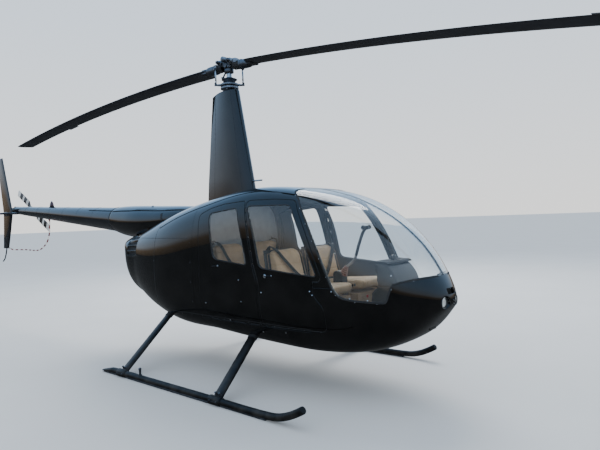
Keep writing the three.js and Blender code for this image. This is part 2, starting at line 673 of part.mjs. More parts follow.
// Main rotor: shaft, rotating swashplate, pitch links, hub and blades
const rotor = new THREE.Group();
rotor.rotation.z = restTurn;
craft.add(rotor);
const shaftSolid = rod([0, 0, shaft.low], [0, 0, hubBottom - touch], shaft.radius, shaft.radius, 16);
addPart('mast_shaft', toGeometry(shaftSolid), 'steel', rotor);
const plateSolid = turned([
  [plate.bore, plate.low], [plate.radius, plate.low], [plate.radius, plate.high], [plate.bore, plate.high],
  [plate.bore, plate.low],
]);
const links = [-1, 1].flatMap((hand) => {
  const [x, y] = [hand * link.x, hand * link.y];
  const armEnd = [x + hand * link.past, y + hand * link.past, plate.armHeight];
  return [
    pipe([[x / 2, y / 2, plate.armHeight], armEnd], plate.armRadius, 10),
    rod([x, y, plate.armHeight - 2], [x, y, horn.height - horn.radius - touch], link.radius, link.radius, 10),
  ];
});
addPart('swashplate_rotating', toGeometry(joined([plateSolid, ...links])), 'darkMetal', rotor);
const hubSolid = joined([
  boxSolid([-hub.halfLength, -hub.halfWidth, hubBottom],
    [hub.halfLength, hub.halfWidth, hubHeight + hub.above]),
  ...hub.pins.map((x) => (
    rod([x, -hub.pinHalf, hub.pinHeight], [x, hub.pinHalf, hub.pinHeight], hub.pinRadius))),
  rod([0, 0, hubHeight + hubCap.low], [0, 0, hubHeight + hubCap.high], hubCap.radius),
]);
addPart('rotor_hub', toGeometry(hubSolid), 'darkMetal', rotor);
for (const [name, hand] of [['forward', 1], ['aft', -1]]) {
  const rings = bladeStations.map(([radius, chord, thickness]) => {
    const slope = blade.coning - hand * blade.teeter;
    const height = blade.rootHeight + slope * radius + blade.droop * radius ** 2;
    const pitch = hand * blade.twist * (radius / rotorRadius - 0.75);
    const spanAxis = new THREE.Vector3(1, 0, 0);
    const noseward = new THREE.Vector3(0, hand, 0).applyAxisAngle(spanAxis, pitch);
    const upward = new THREE.Vector3(0, 0, 1).applyAxisAngle(spanAxis, pitch);
    const nose = new THREE.Vector3(hand * radius, 0, height).addScaledVector(noseward, chord * quarter);
    return streamRing(nose, noseward, upward, chord, thickness);
  });
  const hornEnds = [[hand * horn.root, 0, horn.height], [hand * link.x, hand * link.y, horn.height]];
  const hornSolid = pipe(hornEnds, horn.radius, 10);
  addPart(`rotor_blade_${name}`, toGeometry(toSolid(loft(rings)).add(hornSolid)), 'bladeBlack', rotor);
}

// Tail rotor, turning on an axis across the craft
const tailRotor = new THREE.Group();
tailRotor.position.copy(tailHub);
tailRotor.rotation.y = tailRestTurn;
craft.add(tailRotor);
addPart('tail_rotor_hub', toGeometry(joined([
  rod([0, tailHubShaft.from, 0], [0, tailHubShaft.to, 0], tailHubShaft.radius),
  boxSolid(tailHubBlock.map((half) => -half), tailHubBlock),
])), 'darkMetal', tailRotor);
for (const [name, hand] of [['outer', -1], ['inner', 1]]) {
  const rings = tailBladeStations.map(([radius, chord, thickness]) => streamRing(
    new THREE.Vector3(hand * radius, 0, hand * chord * quarter), new THREE.Vector3(0, 0, hand),
    new THREE.Vector3(0, 1, 0), chord, thickness));
  addPart(`tail_rotor_blade_${name}`, toGeometry(toSolid(loft(rings))), 'white', tailRotor);
}

export default craft;
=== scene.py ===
# A light four-seat helicopter in gloss black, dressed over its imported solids.
# Metres: +X towards the nose, +Y to port, +Z up, origin on the ground under the object's middle.
# Shapes are written from the mast axis, and putMesh moves them ahead by mastX.

import math

import bmesh
import bpy
import numpy as np
from mathutils import Matrix


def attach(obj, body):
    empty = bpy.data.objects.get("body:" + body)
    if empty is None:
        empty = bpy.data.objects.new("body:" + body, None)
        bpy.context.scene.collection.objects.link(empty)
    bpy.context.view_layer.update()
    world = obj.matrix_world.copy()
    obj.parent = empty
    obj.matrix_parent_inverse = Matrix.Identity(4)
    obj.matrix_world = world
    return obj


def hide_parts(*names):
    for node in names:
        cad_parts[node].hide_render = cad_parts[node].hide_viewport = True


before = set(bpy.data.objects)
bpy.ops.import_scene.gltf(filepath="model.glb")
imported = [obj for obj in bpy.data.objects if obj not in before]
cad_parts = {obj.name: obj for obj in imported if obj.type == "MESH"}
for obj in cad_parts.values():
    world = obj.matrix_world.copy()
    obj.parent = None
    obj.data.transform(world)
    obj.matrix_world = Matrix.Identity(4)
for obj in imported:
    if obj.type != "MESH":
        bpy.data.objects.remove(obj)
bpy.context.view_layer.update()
mastX = 0.770
print("frame loaded:", len(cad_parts), "solids")


# Mesh building

# Points (n, 3) and faces (m, 3 or 4) become an object that rides on a body.
def putMesh(name, points, faces, materials, body="airframe", replaces=(), slot=None, which=None,
            normals=None, weld=True, sharp=38, along=None):
    points = np.asarray(points, float).reshape(-1, 3) + (mastX, 0, 0)
    mesh = bpy.data.meshes.new(name)
    mesh.from_pydata(points.tolist(), [], np.asarray(faces).tolist())
    if not isinstance(materials, (list, tuple)):
        materials = [materials]
    for material in materials:
        mesh.materials.append(material)
    if which is not None:
        mesh.polygons.foreach_set("material_index", np.asarray(which, np.int32))
    if along is not None:
        mesh.attributes.new("along", "FLOAT", "POINT").data.foreach_set("value",
                                                                        np.asarray(along, np.float32))
    if weld:
        work = bmesh.new()
        work.from_mesh(mesh)
        bmesh.ops.remove_doubles(work, verts=work.verts, dist=1e-6)
        bmesh.ops.dissolve_degenerate(work, edges=work.edges, dist=1e-7)
        bmesh.ops.recalc_face_normals(work, faces=work.faces)
        work.to_mesh(mesh)
        work.free()
    mesh.polygons.foreach_set("use_smooth", np.ones(len(mesh.polygons), bool))
    if normals is not None:
        mesh.normals_split_custom_set_from_vertices(normals.tolist())
    elif sharp:
        mesh.set_sharp_from_angle(angle=math.radians(sharp))
    made = bpy.data.objects.new(name, mesh)
    bpy.context.scene.collection.objects.link(made)
    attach(made, body)
    if replaces:
        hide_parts(*([replaces] if isinstance(replaces, str) else replaces))
    return made


# Quads of a grid whose rows follow each other and whose columns close into rings when wrapped.
def gridFaces(rows, columns, wrap=True):
    row = np.arange(rows - 1)[:, None] * columns
    here = np.arange(columns if wrap else columns - 1)
    nextOne = (here + 1) % columns
    return np.stack([row + here, row + nextOne, row + columns + nextOne, row + columns + here],
                    -1).reshape(-1, 4)


# A surface through rings (rows, columns, 3); a cap pulls the end ring to its own middle.
def skin(rings, capped=True, wrap=True):
    rings = np.asarray(rings, float)
    if capped:
        first = np.repeat(rings[:1].mean(1, keepdims=True), rings.shape[1], 1)
        last = np.repeat(rings[-1:].mean(1, keepdims=True), rings.shape[1], 1)
        rings = np.concatenate([first, rings, last])
    return rings.reshape(-1, 3), gridFaces(rings.shape[0], rings.shape[1], wrap)


# Several (points, faces) as one.
def joinForms(*forms):
    points, faces, start = [], [], 0
    for somePoints, someFaces in forms:
        points.append(np.asarray(somePoints, float).reshape(-1, 3))
        faces.append(np.asarray(someFaces) + start)
        start += len(points[-1])
    if len({f.shape[1] for f in faces}) > 1:
        faces = [face for some in faces for face in some.tolist()]
        return np.concatenate(points), faces
    return np.concatenate(points), np.concatenate(faces)


# A closed sheet between two grids of points of the same size, (rows, columns, 3) each.
def plateForm(outer, inner):
    rows, columns = outer.shape[:2]
    rings = np.concatenate([outer, inner[:, ::-1]], 1)
    around = gridFaces(rows, 2 * columns)
    across = np.arange(columns - 1)
    start = np.stack([across, across + 1, 2 * columns - 2 - across, 2 * columns - 1 - across], -1)
    end = (start + (rows - 1) * 2 * columns)[:, ::-1]
    return rings.reshape(-1, 3), np.concatenate([around, start[:, ::-1], end[:, ::-1]])


# A form moved by a step
def shifted(form, by):
    return form[0] + np.asarray(by, float), form[1]


# A form turned about an axis through a point.
def turned(form, degrees, axis="Z", about=(0, 0, 0)):
    turn = np.array(Matrix.Rotation(math.radians(degrees), 3, axis))
    about = np.asarray(about, float)
    return (form[0] - about) @ turn.T + about, form[1]


# The same form on the other side, its faces turned over.
def mirrored(form):
    faces = form[1]
    faces = [face[::-1] for face in faces] if isinstance(faces, list) else np.asarray(faces)[:, ::-1]
    return form[0] * (1, -1, 1), faces


# A form as it is
def asWritten(form):
    return form


# Names of the sides with what brings a form there, for forms written to starboard and to port
fromRight = (("right", asWritten), ("left", mirrored))
fromLeft = (("right", mirrored), ("left", asWritten))


# A centripetal Catmull-Rom curve through a few points, at equal parameter steps.
def smoothPath(points, count=48):
    points = np.asarray(points, float)
    padded = np.vstack([2 * points[0] - points[1], points, 2 * points[-1] - points[-2]])
    gaps = np.linalg.norm(np.diff(padded, axis=0), axis=1) ** 0.5
    knots = np.concatenate([[0], np.cumsum(gaps)])
    wanted = np.linspace(knots[1], knots[-2], count)
    i = np.clip(np.searchsorted(knots, wanted, side="right") - 1, 1, len(points) - 1)
    t0, t1, t2, t3 = (knots[i + k] for k in (-1, 0, 1, 2))
    p0, p1, p2, p3 = (padded[i + k] for k in (-1, 0, 1, 2))

    # Weighted mean of two rows of points, by where each wanted knot lies between theirs
    def mix(a, b, ta, tb):
        share = ((wanted - ta) / (tb - ta))[:, None]
        return a * (1 - share) + b * share

    a1, a2, a3 = mix(p0, p1, t0, t1), mix(p1, p2, t1, t2), mix(p2, p3, t2, t3)
    return mix(mix(a1, a2, t0, t2), mix(a2, a3, t1, t3), t1, t2)


# Rings of one radius, or one for each point, square to a path; rounded ends come from the last two.
def tube(path, radius, sides=20, upright=(0, 0, 1), flatten=1.0):
    path = np.asarray(path, float)
    along = np.gradient(path, axis=0)
    along /= np.linalg.norm(along, axis=1, keepdims=True)
    across = np.cross(along, np.asarray(upright, float))
    across /= np.linalg.norm(across, axis=1, keepdims=True)
    over = np.cross(across, along)
    turn = np.linspace(0, 2 * np.pi, sides, endpoint=False)
    radius = np.broadcast_to(np.asarray(radius, float), len(path))[:, None, None]
    ring = (across[:, None] * np.cos(turn)[None, :, None]
            + over[:, None] * np.sin(turn)[None, :, None] * flatten)
    return skin(path[:, None] + ring * radius)


# Pairs of radius and distance along an axis, turned about it.
def lathe(profile, start=(0, 0, 0), axis=(0, 0, 1), sides=48):
    profile = np.asarray(profile, float)
    axis = np.asarray(axis, float) / np.linalg.norm(axis)
    helper = np.array([1, 0, 0]) if abs(axis[0]) < 0.9 else np.array([0, 1, 0])
    across = np.cross(axis, helper)
    across /= np.linalg.norm(across)
    over = np.cross(axis, across)
    turn = np.linspace(0, 2 * np.pi, sides, endpoint=False)
    ring = across * np.cos(turn)[:, None] + over * np.sin(turn)[:, None]
    rings = np.asarray(start) + profile[:, :1, None] * ring + profile[:, 1:, None] * axis
    return skin(rings, capped=False)


# A box with rounded edges: a ball's points pushed apart into the eight corners.
def brick(low, high, round=0.006, steps=4):
    low, high = np.asarray(low, float), np.asarray(high, float)
    middle, half = (low + high) / 2, (high - low) / 2
    round = min(round, *(half * 0.98))
    quarter = np.linspace(0, np.pi / 2, steps)
    turn = np.concatenate([quarter + k * np.pi / 2 for k in range(4)])
    lift = np.concatenate([quarter - np.pi / 2, quarter])
    corner = np.repeat([[1, 1], [-1, 1], [-1, -1], [1, -1]], steps, 0)
    level = np.repeat([-1, 1], steps)
    ball = np.stack([np.cos(lift)[:, None] * np.cos(turn), np.cos(lift)[:, None] * np.sin(turn),
                     np.sin(lift)[:, None] * np.ones_like(turn)], -1)
    push = np.stack([np.broadcast_to(corner[:, 0], ball.shape[:2]),
                     np.broadcast_to(corner[:, 1], ball.shape[:2]),
                     np.broadcast_to(level[:, None], ball.shape[:2])], -1)
    return skin(middle + ball * round + push * (half - round))


# Domed fastener heads, one at each place, square to its outward direction.
def headsOn(places, outward, radius=0.005, height=0.0025, sides=10):
    places, outward = np.atleast_2d(places), np.atleast_2d(outward)
    outward = outward / np.linalg.norm(outward, axis=1, keepdims=True)
    helper = np.where(np.abs(outward[:, :1]) < 0.9, [[1.0, 0, 0]], [[0, 1.0, 0]])
    across = np.cross(outward, helper)
    across /= np.linalg.norm(across, axis=1, keepdims=True)
    over = np.cross(outward, across)
    turn = np.linspace(0, 2 * np.pi, sides, endpoint=False)
    lift = np.array([[1.0, -0.4], [1.0, 0.15], [0.7, 0.7], [0.0, 1.0]])
    ring = across[:, None] * np.cos(turn)[:, None] + over[:, None] * np.sin(turn)[:, None]
    points = (places[:, None, None] + ring[:, None] * (lift[:, 0] * radius)[:, None, None]
              + outward[:, None, None] * (lift[:, 1] * height)[:, None, None])
    one = gridFaces(len(lift), sides)
    faces = (np.arange(len(places))[:, None, None] * len(lift) * sides + one).reshape(-1, 4)
    return points.reshape(-1, 3), faces


# Materials

# A node group with its inputs (label, kind, starting value) and outputs (label, kind)
def newGroup(name, inputs, outputs):
    group = bpy.data.node_groups.new(name, "ShaderNodeTree")
    for label, kind, value in inputs:
        socket = group.interface.new_socket(label, in_out="INPUT", socket_type=kind)
        socket.default_value = value
    for label, kind in outputs:
        group.interface.new_socket(label, in_out="OUTPUT", socket_type=kind)
    return group, group.nodes.new("NodeGroupInput"), group.nodes.new("NodeGroupOutput")


# One node: settings are its own properties, inputs are sockets to link or plain values.
def addNode(tree, kind, inputs=None, **settings):
    node = tree.nodes.new(kind)
    for key, value in settings.items():
        setattr(node, key, value)
    for key, value in (inputs or {}).items():
        if isinstance(value, bpy.types.NodeSocket):
            tree.links.new(value, node.inputs[key])
        else:
            node.inputs[key].default_value = value
    return node


# Fine and broad noise as a height and a mask, for paint ripple, leather and plastic alike.
def makeGrainGroup():
    number, vector = "NodeSocketFloat", "NodeSocketVector"
    group, given, out = newGroup(
        "surfaceGrain",
        [("Place", vector, (0, 0, 0)), ("Fine Scale", number, 200.0), ("Broad Scale", number, 6.0),
         ("Broad Share", number, 0.4)],
        [("Height", number), ("Mask", number)])
    fine = addNode(group, "ShaderNodeTexNoise",
                   {"Vector": given.outputs["Place"], "Scale": given.outputs["Fine Scale"], "Detail": 3.0})
    broad = addNode(group, "ShaderNodeTexNoise",
                    {"Vector": given.outputs["Place"], "Scale": given.outputs["Broad Scale"], "Detail": 5.0})
    height = addNode(group, "ShaderNodeMix",
                     {0: given.outputs["Broad Share"], 2: fine.outputs[0], 3: broad.outputs[0]})
    mask = addNode(group, "ShaderNodeMapRange",
                   {"Value": broad.outputs[0], "From Min": 0.35, "From Max": 0.7})
    group.links.new(height.outputs[0], out.inputs["Height"])
    group.links.new(mask.outputs[0], out.inputs["Mask"])
    return group


# Pale dust that gathers low down, broken up by noise.
def makeDustGroup():
    number, vector = "NodeSocketFloat", "NodeSocketVector"
    group, given, out = newGroup(
        "roadDust",
        [("Place", vector, (0, 0, 0)), ("Top", number, 0.9), ("Scale", number, 9.0), ("Amount", number, 0.3)],
        [("Dust", number)])
    height = addNode(group, "ShaderNodeSeparateXYZ", {0: given.outputs["Place"]})
    low = addNode(group, "ShaderNodeMapRange", {"Value": height.outputs[2], "From Min": given.outputs["Top"],
                                                "From Max": 0.0, "To Min": 0.15, "To Max": 1.0})
    noise = addNode(group, "ShaderNodeTexNoise",
                    {"Vector": given.outputs["Place"], "Scale": given.outputs["Scale"], "Detail": 8.0,
                     "Roughness": 0.65})
    spread = addNode(group, "ShaderNodeMapRange",
                     {"Value": noise.outputs[0], "From Min": 0.42, "From Max": 0.72})
    both = addNode(group, "ShaderNodeMath", {0: low.outputs[0], 1: spread.outputs[0]}, operation="MULTIPLY")
    dust = addNode(group, "ShaderNodeMath", {0: both.outputs[0], 1: given.outputs["Amount"]},
                   operation="MULTIPLY")
    group.links.new(dust.outputs[0], out.inputs["Dust"])
    return group


grainGroup = makeGrainGroup()
dustGroup = makeDustGroup()


# A node material with its Principled shader and Object coordinates.
def newMaterial(name):
    material = bpy.data.materials.new(name)
    material.use_nodes = True
    tree = material.node_tree
    return material, tree, tree.nodes["Principled BSDF"], addNode(tree,
                                                                  "ShaderNodeTexCoord").outputs["Object"]


# The shared grain in a material, at a fine and a broad scale
def grainIn(tree, place, fine, broad, share):
    return addNode(tree, "ShaderNodeGroup", {"Place": place, "Fine Scale": fine, "Broad Scale": broad,
                                             "Broad Share": share}, node_tree=grainGroup)


# Bump from a height; the distance is in metres
def bumpFrom(tree, height, strength, distance):
    return addNode(tree, "ShaderNodeBump", {"Height": height, "Strength": strength, "Distance": distance})


# Two colours by a share: first * (1 - share) + second * share
def mixColor(tree, share, first, second):
    node = addNode(tree, "ShaderNodeMix", {0: share}, data_type="RGBA")
    for index, value in ((6, first), (7, second)):
        if isinstance(value, bpy.types.NodeSocket):
            tree.links.new(value, node.inputs[index])
        else:
            node.inputs[index].default_value = (*value, 1)
    return node.outputs[2]


# Sprayed paint: a dark base, clear coat with a faint ripple, and dust that dulls it low down.
def paintFinish(name, color, roughness=0.06, coat=1.0, ripple=0.02, dustTop=0.9, dust=0.25, metallic=0.0,
                dustColor=(0.30, 0.28, 0.25), fine=420.0, coatIor=1.45, specular=0.05):
    material, tree, shader, place = newMaterial(name)
    grain = grainIn(tree, place, fine, 5.0, 0.55)
    dusty = addNode(tree, "ShaderNodeGroup", {"Place": place, "Top": dustTop, "Amount": dust},
                    node_tree=dustGroup)
    tone = mixColor(tree, grain.outputs["Mask"], color, tuple(min(1, c * 1.35 + 0.002) for c in color))
    tree.links.new(mixColor(tree, dusty.outputs[0], tone, dustColor), shader.inputs["Base Color"])
    rough = addNode(tree, "ShaderNodeMapRange", {"Value": dusty.outputs[0], "To Min": roughness,
                                                 "To Max": 0.75})
    tree.links.new(rough.outputs[0], shader.inputs["Roughness"])
    shader.inputs["Metallic"].default_value = metallic
    shader.inputs["Coat Weight"].default_value = coat
    shader.inputs["Coat Roughness"].default_value = 0.02
    shader.inputs["Coat IOR"].default_value = coatIor
    shader.inputs["Specular IOR Level"].default_value = specular
    bump = bumpFrom(tree, grain.outputs["Height"], ripple, 0.002)
    tree.links.new(bump.outputs[0], shader.inputs["Normal"])
    return material


# Machined metal: streaks along one direction and smears in its shine.
def metalFinish(name, color, roughness=0.3, brush=(60, 60, 900), bump=0.12):
    material, tree, shader, place = newMaterial(name)
    stretched = addNode(tree, "ShaderNodeMapping", {"Vector": place, "Scale": brush})
    streaks = addNode(tree, "ShaderNodeTexNoise",
                      {"Vector": stretched.outputs[0], "Scale": 1.0, "Detail": 4.0})
    grain = grainIn(tree, place, 300.0, 22.0, 0.6)
    tree.links.new(mixColor(tree, grain.outputs["Mask"], color, tuple(c * 0.62 for c in color)),
                   shader.inputs["Base Color"])
    rough = addNode(tree, "ShaderNodeMapRange",
                    {"Value": streaks.outputs[0], "From Min": 0.3, "From Max": 0.7,
                     "To Min": roughness * 0.75, "To Max": roughness * 1.4})
    tree.links.new(rough.outputs[0], shader.inputs["Roughness"])
    shader.inputs["Metallic"].default_value = 1.0
    tree.links.new(bumpFrom(tree, streaks.outputs[0], bump, 0.0006).outputs[0], shader.inputs["Normal"])
    return material


# Moulded plastic or rubber: a fine grain with slightly paler worn patches.
def plasticFinish(name, color, roughness=0.5, fine=700.0, bump=0.25, patch=0.25):
    material, tree, shader, place = newMaterial(name)
    grain = grainIn(tree, place, fine, 14.0, 0.25)
    worn = tuple(min(1, c * (1 + patch) + 0.01) for c in color)
    tree.links.new(mixColor(tree, grain.outputs["Mask"], color, worn), shader.inputs["Base Color"])
    rough = addNode(tree, "ShaderNodeMapRange", {"Value": grain.outputs["Mask"], "To Min": roughness * 0.85,
                                                 "To Max": min(1, roughness * 1.2)})
    tree.links.new(rough.outputs[0], shader.inputs["Roughness"])
    tree.links.new(bumpFrom(tree, grain.outputs["Height"], bump, 0.0005).outputs[0], shader.inputs["Normal"])
    return material


# Upholstery leather: pebbled cells, creases, and darker tone in broad random patches.
def leatherFinish(name, color):
    material, tree, shader, place = newMaterial(name)
    cells = addNode(tree, "ShaderNodeTexVoronoi", {"Vector": place, "Scale": 420.0}, feature="SMOOTH_F1")
    grain = grainIn(tree, place, 60.0, 7.0, 0.5)
    dark = tuple(c * 0.72 for c in color)
    shade = mixColor(tree, grain.outputs["Mask"], color, dark)
    tree.links.new(shade, shader.inputs["Base Color"])
    both = addNode(tree, "ShaderNodeMath", {0: cells.outputs["Distance"], 1: grain.outputs["Height"]},
                   operation="ADD")
    rough = addNode(tree, "ShaderNodeMapRange", {"Value": grain.outputs["Mask"], "To Min": 0.42,
                                                 "To Max": 0.62})
    tree.links.new(rough.outputs[0], shader.inputs["Roughness"])
    tree.links.new(bumpFrom(tree, both.outputs[0], 0.35, 0.0008).outputs[0], shader.inputs["Normal"])
    shader.inputs["Sheen Weight"].default_value = 0.15
    return material


# Short pile: dense dark and pale specks.
def carpetFinish(name, color):
    material, tree, shader, place = newMaterial(name)
    pile = addNode(tree, "ShaderNodeTexNoise", {"Vector": place, "Scale": 900.0, "Detail": 2.0})
    grain = grainIn(tree, place, 120.0, 6.0, 0.5)
    speck = mixColor(tree, pile.outputs[0], tuple(c * 0.5 for c in color), tuple(c * 1.7 for c in color))
    tree.links.new(speck, shader.inputs["Base Color"])
    rough = addNode(tree, "ShaderNodeMapRange",
                    {"Value": grain.outputs["Mask"], "To Min": 0.85, "To Max": 1.0})
    tree.links.new(rough.outputs[0], shader.inputs["Roughness"])
    tree.links.new(bumpFrom(tree, pile.outputs[0], 0.7, 0.003).outputs[0], shader.inputs["Normal"])
    return material


# Clear acrylic: a glass shader that lets light through to what is behind it, with faint wiping marks.
def glassFinish(name, tint, roughness=0.0, ior=1.45, shadow=0.9):
    material, tree, shader, place = newMaterial(name)
    grain = grainIn(tree, place, 90.0, 2.5, 0.7)
    tree.links.new(mixColor(tree, grain.outputs["Mask"], tint, tuple(c * 0.985 for c in tint)),
                   shader.inputs["Base Color"])
    shader.inputs["Roughness"].default_value = roughness
    shader.inputs["IOR"].default_value = ior
    shader.inputs["Transmission Weight"].default_value = 1.0
    tree.links.new(bumpFrom(tree, grain.outputs["Height"], 0.015, 0.002).outputs[0], shader.inputs["Normal"])
    path = addNode(tree, "ShaderNodeLightPath")
    clear = addNode(tree, "ShaderNodeBsdfTransparent", {"Color": (*[c * shadow for c in tint], 1)})
    choose = addNode(tree, "ShaderNodeMath", {0: path.outputs["Is Shadow Ray"],
                                              1: path.outputs["Is Diffuse Ray"]}, operation="MAXIMUM")
    mix = addNode(tree, "ShaderNodeMixShader", {0: choose.outputs[0], 1: shader.outputs[0],
                                                2: clear.outputs[0]})
    tree.links.new(mix.outputs[0], tree.nodes["Material Output"].inputs["Surface"])
    return material


glossBlack = paintFinish("glossBlackPaint", (0.0030, 0.0029, 0.0028), roughness=0.05, ripple=0.012, dust=0.02)
boomBlack = paintFinish("boomPaint", (0.006, 0.0065, 0.008), roughness=0.10, ripple=0.02, dust=0.05)
satinBlack = paintFinish("satinBlackPaint", (0.006, 0.006, 0.0065), roughness=0.42, coat=0.06, ripple=0.08,
                         dust=0.12, dustTop=0.4, specular=0.16)
bladePaint = paintFinish("bladePaint", (0.008, 0.009, 0.013), roughness=0.42, coat=0.0, ripple=0.06,
                         dust=0.06,
                         dustTop=3.4, specular=0.3)
clearGlass = glassFinish("clearAcrylic", (0.93, 0.955, 0.96))
steel = metalFinish("machinedSteel", (0.55, 0.56, 0.58), 0.28)
darkSteel = metalFinish("darkSteel", (0.16, 0.165, 0.18), 0.42)
castAlloy = metalFinish("castAlloy", (0.34, 0.36, 0.39), 0.5, brush=(90, 90, 90), bump=0.3)
blackRubber = plasticFinish("blackRubber", (0.012, 0.012, 0.013), 0.75)
cabinTrim = plasticFinish("cabinTrim", (0.028, 0.028, 0.03), 0.7)
darkPlastic = plasticFinish("consolePlastic", (0.012, 0.012, 0.013), 0.42, fine=900.0, bump=0.35)
beigeLeather = leatherFinish("beigeLeather", (0.64, 0.41, 0.22))
carpet = carpetFinish("floorCarpet", (0.035, 0.033, 0.031))
print("materials made")


# The pod: a superellipse at every station, and s grows with the root of the distance from the nose

pod = {
    "sections": np.array([   # x, bottom, top, halfWidth, widest, roundness above the widest line
        [2.515, 0.840, 0.840, 0.000, 0.840, 2.10],
        [2.450, 0.748, 1.026, 0.194, 0.840, 2.15],
        [2.250, 0.550, 1.318, 0.400, 0.860, 2.25],
        [1.900, 0.398, 1.592, 0.564, 0.900, 2.90],
        [1.400, 0.330, 1.790, 0.634, 0.930, 4.10],
        [0.800, 0.340, 1.868, 0.636, 0.950, 5.80],
        [0.100, 0.388, 1.800, 0.648, 0.970, 4.60],
        [-0.600, 0.436, 1.678, 0.628, 1.000, 3.40],
        [-1.200, 0.626, 1.520, 0.518, 1.150, 2.80],
        [-1.600, 0.824, 1.414, 0.387, 1.300, 2.50],
        [-1.750, 1.036, 1.426, 0.223, 1.330, 2.40],
    ]),
    "lowerPower": 2.7,
    "spacing": 0.022,        # between grid points
    "wall": 0.028,
    "doorSkin": 0.009,       # outer layer of a door, which overhangs its lining by the lip
    "doorLip": 0.010,
    "doorSeam": 0.009,
    "doorGrow": 0.0022,      # the visible skin reaches this far into its seam
    "paneOuter": 0.002,
    "paneInner": 0.007,
    "edge": 0.003,           # radius of a panel's outer edge
}
podKnots = np.sqrt(pod["sections"][0, 0] - pod["sections"][:, 0])


# Value and slope at s of a cubic through knots, each knot's slope weighed from its two spans
def smoothAt(s, knots, values):
    span = np.diff(knots)
    rise = np.diff(values) / span
    middle = (rise[:-1] * span[1:] + rise[1:] * span[:-1]) / (span[1:] + span[:-1])
    tangent = np.concatenate([[2 * rise[0] - middle[0]], middle, [2 * rise[-1] - middle[-1]]])
    i = np.clip(np.searchsorted(knots, s, side="right") - 1, 0, len(span) - 1)
    t, h = (s - knots[i]) / span[i], span[i]
    value = ((2 * t**3 - 3 * t**2 + 1) * values[i] + (t**3 - 2 * t**2 + t) * h * tangent[i]
             + (3 * t**2 - 2 * t**3) * values[i + 1] + (t**3 - t**2) * h * tangent[i + 1])
    slope = ((6 * t**2 - 6 * t) * (values[i] - values[i + 1]) / h + (3 * t**2 - 4 * t + 1) * tangent[i]
             + (3 * t**2 - 2 * t) * tangent[i + 1])
    return value, slope


# Width, height and roundness of the section at s, each with its slope
def sectionAt(s, above):
    (bottom, bottomSlope), (top, topSlope), (width, widthSlope), (widest, widestSlope), (power,
                                                                                         powerSlope) = (
 smoothAt(s, podKnots, pod["sections"][:, k]) for k in (1, 2, 3, 4, 5))
    half = np.maximum(np.where(above, top - widest, widest - bottom), 1e-6)
    halfSlope = np.where(above, topSlope - widestSlope, widestSlope - bottomSlope)
    power, powerSlope = np.where(above, power, pod["lowerPower"]), np.where(above, powerSlope, 0.0)
    return np.maximum(np.abs(width),
                      1e-6), widthSlope, widest, widestSlope, half, halfSlope, power, powerSlope


# A point of |y / w| ^ p + |(z - widest) / h| ^ p = 1 and the normal, which is that sum's gradient;
# side and rise are the two ratios
def podPoint(s, above, side, rise):
    width, widthSlope, widest, widestSlope, half, halfSlope, power, powerSlope = sectionAt(s, above)
    sign = np.where(above, 1.0, -1.0)
    point = np.stack([pod["sections"][0, 0] - s**2, -width * side, widest + sign * half * rise], -1)
    bySide, byRise = side**power, rise**power
    bend = bySide * np.log(np.maximum(side, 1e-9)) + byRise * np.log(np.maximum(rise, 1e-9))
    ahead = 0.5 * (bySide * widthSlope / width + sign * rise ** (power - 1) * widestSlope / half
                   + byRise * halfSlope / half - powerSlope / power * bend)
    normal = np.stack([ahead, -s * side ** (power - 1) / width, s * sign * rise ** (power - 1) / half], -1)
    normal[s < 1e-4] = (1, 0, 0)
    return point, normal / np.linalg.norm(normal, axis=1, keepdims=True)


# Places (s, b) on the starboard half, b from 0 at the keel by 0.5 at the widest line to 1 at the top.
# A ray from the middle at angle t meets the section at (cos t, sin t) / (cos t ^ p + sin t ^ p) ^ (1 / p).
def podAt(places):
    s, b = places[:, 0], places[:, 1]
    above = b >= 0.5
    power = sectionAt(s, above)[6]
    spread = 2 * np.clip(np.abs(2 * b - 1), 0, 1) - 1
    turn = np.pi / 4 * (1 + 0.65 * spread + 0.35 * spread**3)
    reach = (np.cos(turn) ** power + np.sin(turn) ** power) ** (1 / power)
    side = np.where(spread < 1 - 1e-9, np.cos(turn) / reach, 0.0)
    return podPoint(s, above, side, np.sin(turn) / reach)


# Places (x, z) in side view, put on the starboard side a given depth below the skin
def podSide(places, depth=0.0):
    places = np.atleast_2d(np.asarray(places, float))
    s = np.sqrt(np.maximum(pod["sections"][0, 0] - places[:, 0], 1e-6))
    above = places[:, 1] >= sectionAt(s, np.ones(len(s), bool))[2]
    _, _, widest, _, half, _, power, _ = sectionAt(s, above)
    rise = np.clip(np.abs(places[:, 1] - widest) / half, 0, 1)
    point, normal = podPoint(s, above, (1 - rise**power) ** (1 / power), rise)
    return point - normal * depth, normal


# Values at equal steps along a line of positions, by its summed length
def equalSteps(values, positions, step):
    length = np.concatenate([[0], np.cumsum(np.linalg.norm(np.diff(positions, axis=0), axis=1))])
    count = int(np.ceil(length[-1] / step)) + 1
    return np.interp(np.linspace(0, length[-1], count), length, values)


# The starboard half as a grid of places and triangles, at about equal steps both ways
def podGrid(step):
    s = np.linspace(0, podKnots[-1], 1500)
    crown, _ = podAt(np.stack([s, np.ones_like(s)], -1))
    rows = equalSteps(s, crown, step)
    columns = int(3.1 / step)
    places = np.stack(np.meshgrid(rows, np.linspace(0, 1, columns), indexing="ij"), -1).reshape(-1, 2)
    quads = gridFaces(len(rows), columns, wrap=False)
    return places, np.concatenate([quads[:, [0, 1, 2]], quads[:, [0, 2, 3]]])


